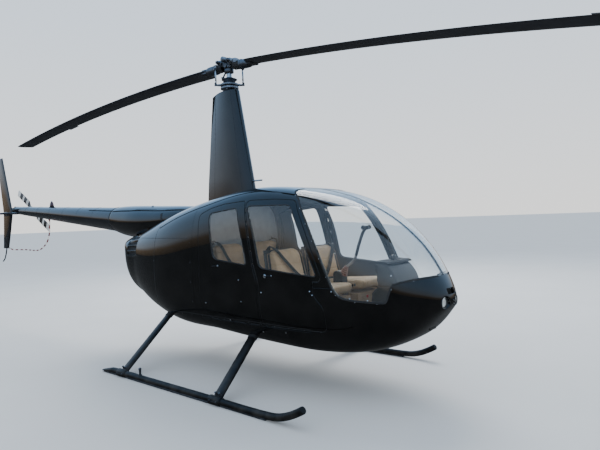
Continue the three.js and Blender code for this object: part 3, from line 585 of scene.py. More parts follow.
# Outlines in side view: x, height and corner radius
outlines = {
    "frontDoor": [[0.805, 1.712, 0.02], [0.843, 1.730, 0.01], [1.125, 1.727, 0], [1.332, 1.708, 0.04],
                  [1.472, 1.477, 0.2], [1.575, 1.243, 0.1], [1.645, 1.064, 0.025], [1.623, 1.032, 0.012],
                  [1.558, 1.032, 0.012], [1.564, 0.932, 0.04], [1.588, 0.882, 0.06], [1.657, 0.814, 0.04],
                  [1.664, 0.610, 0.06], [0.960, 0.600, 0.05], [0.960, 1.000, 0.06], [0.908, 1.131, 0.1]],
    "rearDoor": [[0.141, 1.624, 0.03], [0.288, 1.678, 0.06], [0.490, 1.712, 0], [0.776, 1.728, 0.015],
                 [0.876, 1.131, 0.1], [0.926, 1.000, 0.06], [0.920, 0.600, 0.05], [0.205, 0.600, 0.06],
                 [0.133, 0.760, 0.1], [0.150, 1.100, 0.2], [0.152, 1.333, 0.2]],
    "frontWindow": [[0.816, 1.684, 0.045], [1.302, 1.674, 0.05], [1.452, 1.423, 0.25], [1.611, 1.064, 0.04],
                    [0.968, 1.123, 0.06], [0.901, 1.452, 0.3]],
    "rearWindow": [[0.289, 1.636, 0.06], [0.684, 1.673, 0.045], [0.821, 1.141, 0.05], [0.359, 1.192, 0.06],
                   [0.306, 1.511, 0.3]],
    "windshield": [[1.225, 2.050, 0], [1.225, 1.815, 0.04], [1.354, 1.722, 0.03], [1.485, 1.545, 0.2],
                   [1.608, 1.304, 0.2], [1.714, 1.065, 0.08], [1.746, 0.987, 0.06], [1.800, 0.911, 0.06],
                   [1.910, 0.887, 0.06], [2.157, 0.870, 0.02], [2.177, 0.942, 0.03], [2.197, 1.012, 0.03],
                   [2.304, 1.041, 0.06], [2.400, 1.056, 0.06], [2.650, 1.056, 0], [2.650, 2.050, 0]],
    "roof": [[0.045, 2.100, 0], [0.045, 0.585, 0], [1.508, 0.585, 0], [1.508, 0.977, 0], [1.812, 0.977, 0],
             [1.812, 1.064, 0], [2.700, 1.064, 0], [2.700, 2.100, 0]],
    "cowl": [[-2.000, 2.100, 0], [-2.000, 0.200, 0], [0.045, 0.200, 0], [0.045, 2.100, 0]],
    "louvrePanel": [[-1.425, 1.178, 0.01], [-1.425, 1.430, 0.03], [-1.130, 1.442, 0.03],
                    [-1.130, 1.190, 0.01]],
}


# Corners with a radius become arcs, each a quadratic curve between points that far from the corner
def roundedOutline(corners, steps=9):
    corners = np.asarray(corners, float)
    places, radius = corners[:, :2], corners[:, 2]

    # The point that far from each corner towards the next, at most 0.45 of the side
    def reach(other):
        towards = other - places
        length = np.linalg.norm(towards, axis=1)
        return places + towards * (np.minimum(radius, length * 0.45) / length)[:, None]

    enter, leave = reach(np.roll(places, 1, 0)), reach(np.roll(places, -1, 0))
    t = np.linspace(0, 1, steps)[None, :, None]
    arcs = (1 - t) ** 2 * enter[:, None] + 2 * t * (1 - t) * places[:, None] + t**2 * leave[:, None]
    points = arcs.reshape(-1, 2)
    return points[np.linalg.norm(points - np.roll(points, 1, 0), axis=1) > 1e-9]


shapes = {name: roundedOutline(corners) for name, corners in outlines.items()}


# Distance of points (x, z) from a closed outline, positive inside, and its gradient
def outlineDistance(points, outline):
    start, end = outline, np.roll(outline, -1, 0)
    side = end - start
    offset = points[:, None] - start
    share = np.clip((offset * side).sum(-1) / (side * side).sum(-1), 0, 1)
    gap = offset - share[..., None] * side
    distance = np.linalg.norm(gap, axis=-1)
    nearest = distance.argmin(1)
    row = np.arange(len(points))
    crosses = (start[:, 1] > points[:, None, 1]) != (end[:, 1] > points[:, None, 1])
    with np.errstate(divide="ignore", invalid="ignore"):
        at = start[:, 0] + (points[:, None, 1] - start[:, 1]) / side[:, 1] * side[:, 0]
    inside = (crosses & (points[:, None, 0] < at)).sum(1) % 2 == 1
    sign = np.where(inside, 1.0, -1.0)
    value = distance[row, nearest]
    area = (start[:, 0] * end[:, 1] - end[:, 0] * start[:, 1]).sum()
    sideNormal = np.stack([-side[:, 1], side[:, 0]], -1) * np.sign(area)
    sideNormal /= np.linalg.norm(sideNormal, axis=1, keepdims=True)
    direction = np.where((value > 1e-7)[:, None], gap[row, nearest] * sign[:, None]
                         / np.maximum(value, 1e-12)[:, None], sideNormal[nearest])
    return value * sign, direction


# Terms of a region: each gives a distance, positive inside, and its gradient in space
def within(shape, grow=0.0):
    # The outline's distance in side view; its gradient has no part along Y
    def term(point):
        value, direction = outlineDistance(point[:, [0, 2]], shapes[shape])
        return value + grow, np.stack([direction[:, 0], np.zeros(len(point)), direction[:, 1]], -1)
    return term


# Outside an outline: the distance and gradient of the inside, turned over
def outside(shape, grow=0.0):
    # Minus the distance from within, and minus its gradient
    def term(point):
        value, gradient = within(shape, grow)(point)
        return -value, -gradient
    return term


# Beyond a plane: (point - origin) . direction
def beyondPlane(origin, direction):
    direction = np.asarray(direction, float) / np.linalg.norm(direction)

    # One direction everywhere, so the gradient is that direction
    def term(point):
        return (point - origin) @ direction, np.broadcast_to(direction, point.shape)
    return term


# Outside a round hole along X, given on the starboard side
def outsideRound(across, up, radius):
    # Distance from the hole's axis less its radius
    def term(point):
        offset = point[:, 1:] - (across, up)
        length = np.maximum(np.linalg.norm(offset, axis=1), 1e-9)
        return length - radius, np.insert(offset / length[:, None], 0, 0.0, axis=1)
    return term


# Outside a rounded rectangle seen along one axis: the distance is the length of what reaches past the
# rectangle made smaller by its corner radius, less that radius
def outsideBox(axes, low, high, corner, reach=None):
    low, high = np.asarray(low, float), np.asarray(high, float)
    middle, half = (low + high) / 2, (high - low) / 2 - corner

    # Length past the smaller rectangle, or the depth inside it, less the corner radius
    def term(point):
        offset = point[:, axes] - middle
        past = np.abs(offset) - half
        beyond = np.maximum(past, 0)
        length = np.linalg.norm(beyond, axis=1)
        value = length + np.minimum(past.max(1), 0) - corner
        nearer = (past == past.max(1, keepdims=True)).astype(float)
        direction = np.where((length > 1e-9)[:, None], beyond / np.maximum(length, 1e-9)[:, None], nearer)
        gradient = np.zeros_like(point)
        gradient[:, axes] = direction * np.sign(offset)
        if reach is not None:
            value = np.where(point[:, 2] > reach, 1.0, value)
        return value, gradient
    return term


# Smallest of the terms at places on the surface, as a distance along it, and the way out
def regionAt(terms, places, surface):
    point, normal = surface(places)
    best = np.full(len(places), np.inf)
    out = np.zeros((len(places), 3))
    for term in terms:
        value, gradient = term(point)
        along = gradient - (gradient * normal).sum(1, keepdims=True) * normal
        size = np.maximum(np.linalg.norm(along, axis=1), 0.2)
        nearer = value / size < best
        best = np.where(nearer, value / size, best)
        out = np.where(nearer[:, None], -along / size[:, None], out)
    return best, out


# Splits triangles along a line of the region's distance, found by false position on each edge
def splitAt(places, triangles, terms, level, surface):
    value = regionAt(terms, places, surface)[0] - level
    value = np.where(np.abs(value) < 1e-6, 1e-6, value)
    edges = np.sort(triangles[:, [0, 1, 1, 2, 2, 0]].reshape(-1, 2), axis=1)
    edges, edgeOf = np.unique(edges, axis=0, return_inverse=True)
    edgeOf = edgeOf.reshape(-1, 3)
    cut = np.flatnonzero((value[edges[:, 0]] > 0) != (value[edges[:, 1]] > 0))
    if not len(cut):
        return places, triangles
    low, high = places[edges[cut, 0]], places[edges[cut, 1]]
    lowValue, highValue = value[edges[cut, 0]].copy(), value[edges[cut, 1]].copy()
    lowShare, highShare = np.zeros(len(cut)), np.ones(len(cut))
    for _ in range(4):
        share = lowShare + (highShare - lowShare) * lowValue / (lowValue - highValue)
        share = np.clip(share, 0.002, 0.998)
        found = regionAt(terms, low + (high - low) * share[:, None], surface)[0] - level
        sameAsLow = (found > 0) == (lowValue > 0)
        lowShare, lowValue = np.where(sameAsLow, share, lowShare), np.where(sameAsLow, found, lowValue)
        highShare, highValue = np.where(sameAsLow, highShare, share), np.where(sameAsLow, highValue, found)
        lowValue = np.where(lowValue == highValue, lowValue + 1e-9, lowValue)
    added = np.full(len(edges), -1)
    added[cut] = len(places) + np.arange(len(cut))
    places = np.concatenate([places, low + (high - low) * share[:, None]])
    above = value[triangles] > 0
    count = above.sum(1)
    whole = triangles[(count == 0) | (count == 3)]
    pieces = [whole]
    for lone in range(3):
        one = ((count == 1) & above[:, lone]) | ((count == 2) & ~above[:, lone])
        a, b, c = (triangles[one, (lone + k) % 3] for k in range(3))
        ab, ca = added[edgeOf[one, lone]], added[edgeOf[one, (lone + 2) % 3]]
        pieces += [np.stack(t, -1) for t in ((a, ab, ca), (ab, b, c), (ab, c, ca))]
    return places, np.concatenate(pieces)


# A closed panel: the part of a surface inside a region, from one depth to another below it.
# Both edges are rounded: at distance d from the border, inside the radius r, the skin sinks by
# r - sqrt(r * r - (r - d) ** 2), and its normal turns outwards by the same quarter circle.
def panelForm(terms, top=0.0, bottom=0.028, edge=0.003, sides="right", surface=podAt, grid=None):
    places, triangles = grid
    distance, _ = regionAt(terms, places, surface)
    triangles = triangles[(distance[triangles] > -0.05).any(1)]
    used, triangles = np.unique(triangles, return_inverse=True)
    places, triangles = places[used], triangles.reshape(-1, 3)
    edge = min(edge, (bottom - top) * 0.45)
    quarter = np.radians([90, 55, 25, 0])
    for level in edge * (1 - np.sin(quarter)):
        places, triangles = splitAt(places, triangles, terms, level, surface)
    distance, out = regionAt(terms, places, surface)
    triangles = triangles[(distance[triangles] > -1e-4).all(1) & (distance[triangles] > 1e-5).any(1)]
    used, triangles = np.unique(triangles, return_inverse=True)
    places, triangles = places[used], triangles.reshape(-1, 3)
    distance, out = distance[used], out[used]
    point, normal = surface(places)
    middle = np.abs(point[:, 1]) < 1e-7                     # on the centre line
    sink = np.clip(edge - distance, 0, edge)
    tilt = np.arcsin(np.clip(sink / edge, 0, 1))
    tilt[distance < 1e-4] = np.pi / 2
    drop = edge * (1 - np.cos(tilt))
    turnedOut = out * np.sin(tilt)[:, None]
    upper = point - normal * (top + drop)[:, None]
    lower = point - normal * (bottom - drop)[:, None]
    upperNormal = normal * np.cos(tilt)[:, None] + turnedOut
    lowerNormal = -normal * np.cos(tilt)[:, None] + turnedOut
    corners = point[triangles]
    facing = np.cross(corners[:, 1] - corners[:, 0], corners[:, 2] - corners[:, 0])
    flip = (facing * normal[triangles[:, 0]]).sum(1) < 0
    triangles[flip] = triangles[flip][:, ::-1]
    count = len(point)
    directed = triangles[:, [0, 1, 1, 2, 2, 0]].reshape(-1, 2)
    key = np.sort(directed, axis=1)
    _, where, times = np.unique(key, axis=0, return_inverse=True, return_counts=True)
    rim = directed[(times[where.ravel()] == 1) & ~middle[directed].all(1)]
    walls = np.concatenate([np.stack([rim[:, 1], rim[:, 0], rim[:, 0] + count], -1),
                            np.stack([rim[:, 1], rim[:, 0] + count, rim[:, 1] + count], -1)])
    points = np.concatenate([upper, lower])
    normals = np.concatenate([upperNormal, lowerNormal])
    faces = np.concatenate([triangles, triangles[:, ::-1] + count, walls])
    inner = np.concatenate([np.zeros(len(triangles)), np.ones(len(triangles)), np.zeros(len(walls))])
    if sides == "right":
        return points, faces, normals, inner
    flipped, flippedNormals = points * (1, -1, 1), normals * (1, -1, 1)
    if sides == "left":
        return flipped, faces[:, ::-1], flippedNormals, inner
    same = np.concatenate([middle, middle])
    points[same, 1] = 0
    normals[same, 1] = 0
    twin = np.where(same, np.arange(len(points)), len(points) + np.cumsum(~same) - 1)
    return (np.concatenate([points, flipped[~same]]), np.concatenate([faces, twin[faces][:, ::-1]]),
            np.concatenate([normals, flippedNormals[~same]]), np.concatenate([inner, inner]))


# A panel with its own normals; inner faces take the second material, if there is one
def putPanel(name, form, materials, body="airframe", replaces=(), slot=None):
    points, faces, normals, inner = form
    normals = normals / np.maximum(np.linalg.norm(normals, axis=1, keepdims=True), 1e-9)
    materials = materials if isinstance(materials, (list, tuple)) else [materials]
    return putMesh(name, points, faces, materials, body, replaces, slot, weld=False, normals=normals,
                   which=inner if len(materials) > 1 else None)


nose = {
    "lampAcross": 0.098, "lampHeight": 0.842, "lampRadius": 0.052,
    "ventHalf": 0.062, "ventLow": 0.905, "ventHigh": 0.950,
    "outletLow": (-1.040, -0.210), "outletHigh": (-0.430, 0.210),
}
podFine = podGrid(pod["spacing"])
seam, lip, grow = pod["doorSeam"], pod["doorLip"], pod["doorGrow"]
black, trim = "gloss_black_paint", "cabin_trim"
openDoors = [outside("frontDoor", seam - grow), outside("rearDoor", seam - grow)]
frameTerms = [within("roof", -0.0003), outside("windshield"), *openDoors]
bellyTerms = [outside("roof", 0.0003), outside("cowl", 0.0003), outside("windshield"), *openDoors,
              outsideRound(-nose["lampAcross"], nose["lampHeight"], nose["lampRadius"] + 0.001),
              outsideBox([1, 2], (-nose["ventHalf"], nose["ventLow"]), (nose["ventHalf"], nose["ventHigh"]),
                         0.008)]
cowlTerms = [within("cowl"), outside("louvrePanel"),
             outsideBox([0, 1], nose["outletLow"], nose["outletHigh"], 0.04, reach=0.8)]
shell = [glossBlack, cabinTrim]
wallDepth, edge = pod["wall"], pod["edge"]
putPanel("cabinFrame", panelForm(frameTerms, 0, wallDepth, edge, "both", grid=podFine), shell,
         replaces="cabin_frame", slot=black)
putPanel("bellyAndNose", panelForm(bellyTerms, 0, wallDepth, edge, "both", grid=podFine), shell,
         replaces="belly_and_nose", slot=black)
putPanel("engineCowl", panelForm(cowlTerms, 0, wallDepth, edge, "both", grid=podFine), shell,
         replaces="engine_cowl", slot=black)
for row, body in (("front", "front_{}_door"), ("rear", "rear_{}_door")):
    for side in ("right", "left"):
        rides = body.format(side)
        skinTerms = [within(row + "Door", grow), outside(row + "Window")]
        putPanel(f"{row}DoorSkin_{side}",
                 panelForm(skinTerms, 0, pod["doorSkin"], edge, side, grid=podFine),
                 glossBlack, rides, f"door_{row}_{side}", black)
        lining = [within(row + "Door", -lip), outside(row + "Window")]
        putPanel(f"{row}DoorLining_{side}",
                 panelForm(lining, pod["doorSkin"], wallDepth, 0.004, side, grid=podFine),
                 cabinTrim, rides, slot=trim)
        pane = [within(row + "Window", -0.0003)]
        putPanel(f"{row}DoorGlass_{side}",
                 panelForm(pane, pod["paneOuter"], pod["paneInner"], 0.001, side, grid=podFine),
                 clearGlass, rides, f"door_glass_{row}_{side}", "clear_glass")
for side in ("right", "left"):
    pane = [within("windshield", -0.0003), beyondPlane((0, -0.0143, 0), (0, -1, 0))]
    putPanel(f"windshieldPane_{side}",
             panelForm(pane, pod["paneOuter"], pod["paneInner"], 0.001, side, grid=podFine),
             clearGlass, "airframe", f"windshield_{side}", "clear_glass")
strip = [within("windshield", 0.0), beyondPlane((0, -0.014, 0), (0, 1, 0))]
putPanel("centreStrip", panelForm(strip, 0.0, 0.014, 0.003, "both", grid=podFine), glossBlack, slot=black)


# Cowl louvres: the sheet dips inwards under each slat and slopes back out, and the deep part of each dip is
# black rubber, painted shade standing in for an open slot
louvres = {"rear": -1.425, "front": -1.130, "low": 1.178, "high": 1.430, "rise": 0.012, "count": 4,
           "dip": 0.020, "border": 0.018, "sheet": 0.003}


# Depth is dip * saw * border share: the saw rises over 0.12 of a slat, holds to 0.42 and falls over 0.5
def louvreForm():
    u = np.linspace(0, 1, 60)[:, None]
    v = np.linspace(0, 1, 140)[None, :]
    x = louvres["rear"] + (louvres["front"] - louvres["rear"]) * u + 0 * v
    z = louvres["low"] + (louvres["high"] - louvres["low"]) * v + louvres["rise"] * u
    inside = np.clip(np.minimum(u, 1 - u) * (louvres["front"] - louvres["rear"]) / louvres["border"] - 1, 0,
                     1)
    inside = inside * np.clip(np.minimum(v, 1 - v) * 40 - 1.5, 0, 1)
    phase = (v * louvres["count"]) % 1
    saw = np.where(phase < 0.12, phase / 0.12, np.clip(1 - (phase - 0.42) / 0.5, 0, 1)) * np.ones_like(u)
    depth = louvres["dip"] * saw * (3 * inside**2 - 2 * inside**3)
    flat = np.stack([x.ravel(), z.ravel()], -1)
    point, normal = podSide(flat)
    outer = point - normal * (depth.ravel()[:, None] + 0.0004)
    inner = outer - normal * louvres["sheet"]
    shape = (60, 140, 3)
    form = plateForm(outer.reshape(shape), inner.reshape(shape))
    # Faces deeper than 0.55 of the dip take black rubber as painted shade for the open slots; the whole
    # underside takes it too
    dark = np.zeros(len(form[1]))
    deep = depth[:-1, :-1] > louvres["dip"] * 0.55
    around = np.zeros((59, 280))
    around[:, :139] = deep
    around[:, 139:] = 1
    dark[:59 * 280] = around.ravel()
    return form, dark


# The second material is the painted shade in the louvre dips
louvreSheet, louvrePaintedShade = louvreForm()
for side, flip in fromRight:
    putMesh(f"cowlLouvres_{side}", *flip(louvreSheet), [glossBlack, blackRubber], which=louvrePaintedShade,
            weld=False, slot=black)


# A path along an outline on the starboard side: each point is moved out by grow and down by depth
def outlinePath(shape, grow=0.0, depth=0.0, step=0.02, keep=None):
    points = shapes[shape]
    closed = np.vstack([points, points[:1]])
    length = np.concatenate([[0], np.cumsum(np.linalg.norm(np.diff(closed, axis=0), axis=1))])
    at = np.linspace(0, length[-1], int(length[-1] / step), endpoint=False)
    places = np.stack([np.interp(at, length, closed[:, k]) for k in (0, 1)], -1)
    value, direction = outlineDistance(places + 1e-6, points)
    if keep is not None:
        places, direction = places[keep(places)], direction[keep(places)]
    surface, normal = podSide(places)
    out = np.stack([-direction[:, 0], np.zeros(len(places)), -direction[:, 1]], -1)
    out -= (out * normal).sum(1, keepdims=True) * normal
    out /= np.maximum(np.linalg.norm(out, axis=1, keepdims=True), 1e-9)
    return surface + out * grow - normal * depth, normal


# A soft rounded strip along a closed path: rings square to it, wide by one radius and thick by the other
def sealForm(path, normal, wide, thick, sides=10, closed=True):
    ahead = np.roll(path, -1, 0) - np.roll(path, 1, 0) if closed else np.gradient(path, axis=0)
    ahead /= np.maximum(np.linalg.norm(ahead, axis=1, keepdims=True), 1e-9)
    across = np.cross(ahead, normal)
    across /= np.maximum(np.linalg.norm(across, axis=1, keepdims=True), 1e-9)
    turn = np.linspace(0, 2 * np.pi, sides, endpoint=False)
    rings = (path[:, None] + across[:, None] * (wide * np.cos(turn))[None, :, None]
             + normal[:, None] * (thick * np.sin(turn))[None, :, None])
    if not closed:
        return skin(rings)
    return skin(np.concatenate([rings, rings[:1]]), capped=False)


seals = {"windowWide": 0.0055, "windowThick": 0.0026, "doorWide": 0.0042, "doorThick": 0.003,
         "doorDepth": 0.0062}
for row in ("front", "rear"):
    gasket = sealForm(*outlinePath(row + "Window", 0.0, 0.0012), seals["windowWide"], seals["windowThick"])
    strip = sealForm(*outlinePath(row + "Door", seam * 0.72, seals["doorDepth"]), seals["doorWide"],
                     seals["doorThick"])
    for side, flip in fromRight:
        putMesh(f"{row}WindowGasket_{side}", *flip(gasket), blackRubber, f"{row}_{side}_door")
        putMesh(f"{row}DoorSeal_{side}", *flip(strip), blackRubber)
screenPath, screenNormal = outlinePath(
    "windshield", 0.004, -0.0003, 0.012,
    keep=lambda q: (q[:, 1] < smoothAt(np.sqrt(np.maximum(pod["sections"][0, 0] - q[:, 0], 1e-6)), podKnots,
                                       pod["sections"][:, 2])[0]) & (q[:, 0] < 2.43))
start = int(np.argmax(np.linalg.norm(screenPath - np.roll(screenPath, 1, 0), axis=1)))
screenPath, screenNormal = np.roll(screenPath, -start, 0), np.roll(screenNormal, -start, 0)
gasket = sealForm(screenPath, screenNormal, 0.0085, 0.0022, closed=False)
for side, flip in fromRight:
    putMesh(f"windshieldGasket_{side}", *flip(gasket), blackRubber)
print("pod panels, doors and glass made")


# Outer pieces behind and above the pod

# Height of the pod's skin over or under places (x, y)
def podHeight(x, y, above=True):
    s = np.sqrt(np.maximum(pod["sections"][0, 0] - np.asarray(x, float), 1e-6))
    width, _, widest, _, half, _, power, _ = sectionAt(s, np.full(s.shape, above))
    rise = (1 - np.clip(np.abs(y) / width, 0, 1) ** power) ** (1 / power)
    return widest + half * rise * (1 if above else -1)


# Half thickness of a streamlined section at a share of the chord behind its nose:
# 10 (0.2969 sqrt b - 0.126 b - 0.3516 b^2 + 0.2843 b^3 - 0.0966 b^4) of half the greatest thickness
def streamHalf(behind):
    return 10 * (0.2969 * np.sqrt(behind) - 0.126 * behind - 0.3516 * behind**2 + 0.2843 * behind**3
                 - 0.0966 * behind**4)


# Rings of that section, one for each nose point; round goes from 0, the section, to 1, a circle
def streamRings(nose, noseward, across, chord, thickness, count=44, round=0.0, radius=0.04, quarter=0.25):
    turn = np.linspace(0, 2 * np.pi, count, endpoint=False)[None, :, None]
    behind = (1 - np.cos(turn)) / 2
    half = np.maximum(streamHalf(behind), 0) * np.sign(np.sin(turn))
    half[np.abs(np.sin(turn)) < 1e-9] = 0
    nose, noseward, across = (np.atleast_2d(np.asarray(v, float))[:, None] for v in (nose, noseward, across))
    chord, thickness, round = (np.atleast_1d(np.asarray(v, float))[:, None, None]
                               for v in (chord, thickness, round))
    section = nose - noseward * behind * chord + across * half * thickness / 2
    circle = nose - noseward * chord * quarter + (noseward * np.cos(turn) + across * np.sin(turn)) * radius
    return section * (1 - round) + circle * round


# A flat outline pushed along an axis with rounded edges: its rings shrink by the corner radius at both ends
def slabForm(outline, low, high, axis=1, round=0.004, steps=5):
    outline = np.asarray(outline, float)
    ahead = np.roll(outline, -1, 0) - np.roll(outline, 1, 0)
    inward = np.stack([-ahead[:, 1], ahead[:, 0]], -1)
    inward /= np.maximum(np.linalg.norm(inward, axis=1, keepdims=True), 1e-9)
    following = np.roll(outline, -1, 0)
    area = (outline[:, 0] * following[:, 1] - following[:, 0] * outline[:, 1]).sum()
    turn = np.linspace(0, np.pi / 2, steps)
    shrink = np.concatenate([round * (1 - np.sin(turn)), round * (1 - np.cos(turn))])
    level = np.concatenate([low + round * (1 - np.cos(turn)), high - round * (1 - np.sin(turn))])
    flat = outline + inward * np.sign(area) * shrink[:, None, None]
    rings = np.insert(flat, axis, level[:, None], axis=2) if axis != 0 else np.concatenate(
        [np.broadcast_to(level[:, None, None], (*flat.shape[:2], 1)), flat], 2)
    return skin(rings)


# A hexagonal nut or bolt head: a six-sided prism with a domed end
def nutForm(place, axis, across=0.012, height=0.008):
    return lathe([[0, 0], [across, 0], [across, height * 0.8], [across * 0.8, height], [0, height]],
                 place, axis, sides=6)


mast = {
    "sections": np.array([    # height, tail x, nose x, thickness
        [1.690, -0.440, 0.358, 0.203],
        [2.000, -0.410, 0.305, 0.192],
        [2.900, -0.292, 0.140, 0.156],
        [2.985, -0.280, 0.125, 0.150],
    ]),
    "tailDrop": 0.018, "sunk": 0.014, "rim": 0.012, "noseSeam": 0.15, "tailSeam": 0.80, "rivetStep": 0.055,
}


# A point of the mast fairing at a height and a turn round its section, 0 at the nose, and a lift outwards
def mastPoint(height, turn, lift=0.0):
    tail, noseX, thick = (np.interp(height, mast["sections"][:, 0], mast["sections"][:, k]) for k in (1, 2,
                                                                                                      3))
    behind = (1 - np.cos(turn)) / 2
    half = np.maximum(streamHalf(behind), 0) * (thick / 2 + lift)
    half = half * np.sign(np.sin(turn)) * (np.abs(np.sin(turn)) > 1e-9)
    return np.stack([noseX - behind * (noseX - tail) + lift * np.cos(turn), half, height + 0 * behind], -1)


# Foot and top of the fairing at a turn: the foot follows the pod's skin, found again 8 times as it moves
def mastEnds(turn):
    low = np.full(np.shape(turn), 1.80)
    for _ in range(8):
        foot = mastPoint(low, turn)
        low = podHeight(foot[..., 0], foot[..., 1]) - mast["sunk"]
    share = np.clip(((1 - np.cos(turn)) / 2 - 0.55) / 0.45, 0, 1)
    return low, mast["sections"][-1, 0] - mast["tailDrop"] * share**1.5


# Rings at equal shares from foot to top, closed by a quarter-round rim
def mastFairingForm():
    turn = np.linspace(0, 2 * np.pi, 72, endpoint=False)
    low, high = mastEnds(turn)
    share = np.linspace(0, 1, 30)[:, None]
    rings = mastPoint(low + (high - mast["rim"] - low) * share, turn[None, :].repeat(30, 0))
    last = rings[-1]
    middle = last.mean(0)
    inward = (middle - last) * (1, 1, 0)
    inward /= np.maximum(np.linalg.norm(inward, axis=1, keepdims=True), 1e-6)
    bend = np.linspace(0.3, np.pi / 2, 6)[:, None, None]
    rim = (last + inward * mast["rim"] * 0.8 * (1 - np.cos(bend))
           + np.array([0, 0, mast["rim"]]) * np.sin(bend))
    return skin(np.concatenate([rings, rim]))


# A narrow strip up the mast at one turn round the section, with its path and normals for rivets beside it
def mastStrip(turn, width=0.007, height=0.0012):
    low, high = mastEnds(np.array([turn]))
    levels = np.linspace(low[0], high[0] - mast["rim"], 40)
    path = mastPoint(levels, np.full(40, turn), lift=0.0006)
    nearby = mastPoint(levels, np.full(40, turn + 0.02), lift=0.0006)
    across = nearby - path
    across /= np.linalg.norm(across, axis=1, keepdims=True)
    normal = np.cross(across, np.gradient(path, axis=0))
    normal /= np.linalg.norm(normal, axis=1, keepdims=True)
    normal *= np.sign(normal[:, 1:2] * path[:, 1:2] + 1e-9)
    return path, normal, sealForm(path, normal, width, height, sides=8, closed=False)


spine = {
    "sections": np.array([     # x, middle height, half width, half height
        [-0.300, 1.670, 0.040, 0.050],
        [-0.450, 1.628, 0.130, 0.102],
        [-0.800, 1.607, 0.190, 0.148],
        [-1.400, 1.584, 0.220, 0.198],
        [-1.800, 1.591, 0.220, 0.210],
        [-2.080, 1.606, 0.198, 0.203],
        [-2.340, 1.634, 0.172, 0.172],
    ]),
    "slotX": -1.082, "slotLean": 0.030, "slotTurns": (-0.02, 0.50), "slotWide": 0.019,
    "knob": (-1.46, 1.30), "lines": ((-1.72, -1.27, 0.90), (-1.06, -0.62, 0.82)),
}


# Middle height, half width and half height of the spine at x
def spineAt(x):
    return [smoothAt(-x, -spine["sections"][:, 0], spine["sections"][:, k])[0] for k in (1, 2, 3)]


# A point of the spine fairing; the turn is counted from the starboard side over the top
def spinePoint(x, turn, lift=0.0):
    middle, halfWidth, halfHeight = spineAt(np.asarray(x, float))
    return np.stack([x + 0 * turn, -(halfWidth + lift) * np.cos(turn),
                     middle + (halfHeight + lift) * np.sin(turn)],
                    -1)


# Ellipses along the spine, the last one drawn in by 1.2 mm
def spineForm():
    x = np.concatenate([[-0.300], np.linspace(-0.31, -2.338, 56), [-2.340]])[:, None]
    turn = np.linspace(0, 2 * np.pi, 72, endpoint=False)[None, :]
    return skin(spinePoint(x + 0 * turn, turn + 0 * x, np.where(x < -2.339, -0.0012, 0.0)))


boom = {
    "frontX": -2.3403, "frontZ": 1.634, "frontRadius": 0.168, "rearX": -5.760, "rearZ": 1.897,
        "rearRadius": 0.066,
    "joints": (-2.372, -2.86, -3.34, -3.82, -4.30, -4.78, -5.26, -5.735), "lapWidth": 0.032,
        "lapHeight": 0.0010,
    "rivetsAround": 36,
}


# Middle height and radius of the boom, both straight lines between its ends
def boomAt(x):
    share = (x - boom["frontX"]) / (boom["rearX"] - boom["frontX"])
    return (boom["frontZ"] + (boom["rearZ"] - boom["frontZ"]) * share,
            boom["frontRadius"] + (boom["rearRadius"] - boom["frontRadius"]) * share)


# A point of the boom: radius plus lift, at a turn round its middle
def boomPoint(x, turn, lift=0.0):
    middle, radius = boomAt(np.asarray(x, float))
    return np.stack([x + 0 * turn, (radius + lift) * np.cos(turn), middle + (radius + lift) * np.sin(turn)],
                    -1)


# A cone whose rings stand out by lapHeight within half a lap of each joint
def boomForm():
    around = np.linspace(0, 2 * np.pi, 72, endpoint=False)[None, :]
    joints = np.array(boom["joints"])
    half = boom["lapWidth"] / 2
    steps = np.concatenate([joints + d for d in (half + 0.0015, half, -half, -half - 0.0015)])
    x = np.sort(np.concatenate([np.linspace(boom["frontX"] - 0.0015, boom["rearX"] + 0.002, 40),
                                steps]))[::-1]
    x = np.concatenate([[boom["frontX"]], x, [boom["rearX"]]])
    lap = (np.abs(x[:, None] - joints).min(1) <= half + 1e-6) * boom["lapHeight"]
    lap[[0, -1]] = -0.0012
    return skin(boomPoint(x[:, None] + 0 * around, around + 0 * x[:, None], lap[:, None]))


# Rivets in two rings at each joint and in two rows along the boom
def boomRivets():
    turn = np.linspace(0, 2 * np.pi, boom["rivetsAround"], endpoint=False)
    places, outward = [], []
    for x in boom["joints"]:
        for shift in (-0.009, 0.009):
            at = np.full(len(turn), x + shift)
            places.append(boomPoint(at, turn, boom["lapHeight"]))
            outward.append(np.stack([0 * turn, np.cos(turn), np.sin(turn)], -1))
    for angle in (-0.42, np.pi + 0.42):
        at = np.linspace(boom["frontX"] - 0.06, boom["rearX"] + 0.06, 110)
        places.append(boomPoint(at, np.full(110, angle)))
        outward.append(np.tile([0, math.cos(angle), math.sin(angle)], (110, 1)))
    return headsOn(np.concatenate(places), np.concatenate(outward), 0.0028, 0.0011, sides=8)


putMesh("mastFairing", *mastFairingForm(), boomBlack, replaces="mast_fairing", slot=black, sharp=50)
rivetPlaces, rivetNormals, strips = [], [], []
for share in ("noseSeam", "tailSeam"):
    for sign in (1, -1):
        turn = sign * math.acos(1 - 2 * mast[share])
        path, normal, form = mastStrip(turn)
        strips.append(form)
        for step in (-0.06, 0.06):
            levels = np.arange(path[2, 2] + 0.03, path[-2, 2] - 0.02, mast["rivetStep"])
            rivetPlaces.append(mastPoint(levels, np.full(len(levels), turn + step), lift=0.0002))
            rivetNormals.append(np.repeat(normal[20:21], len(levels), 0))
putMesh("mastSeams", *joinForms(*strips), boomBlack, slot=black)
putMesh("mastRivets", *headsOn(np.concatenate(rivetPlaces), np.concatenate(rivetNormals), 0.0032, 0.0012, 8),
        boomBlack, slot=black)
putMesh("spineFairing", *spineForm(), glossBlack, replaces="spine_fairing", slot=black, sharp=50)
putMesh("tailBoom", *boomForm(), boomBlack, replaces="tail_boom", slot=black, sharp=30)
putMesh("boomRivets", *boomRivets(), boomBlack, slot=black, weld=False)

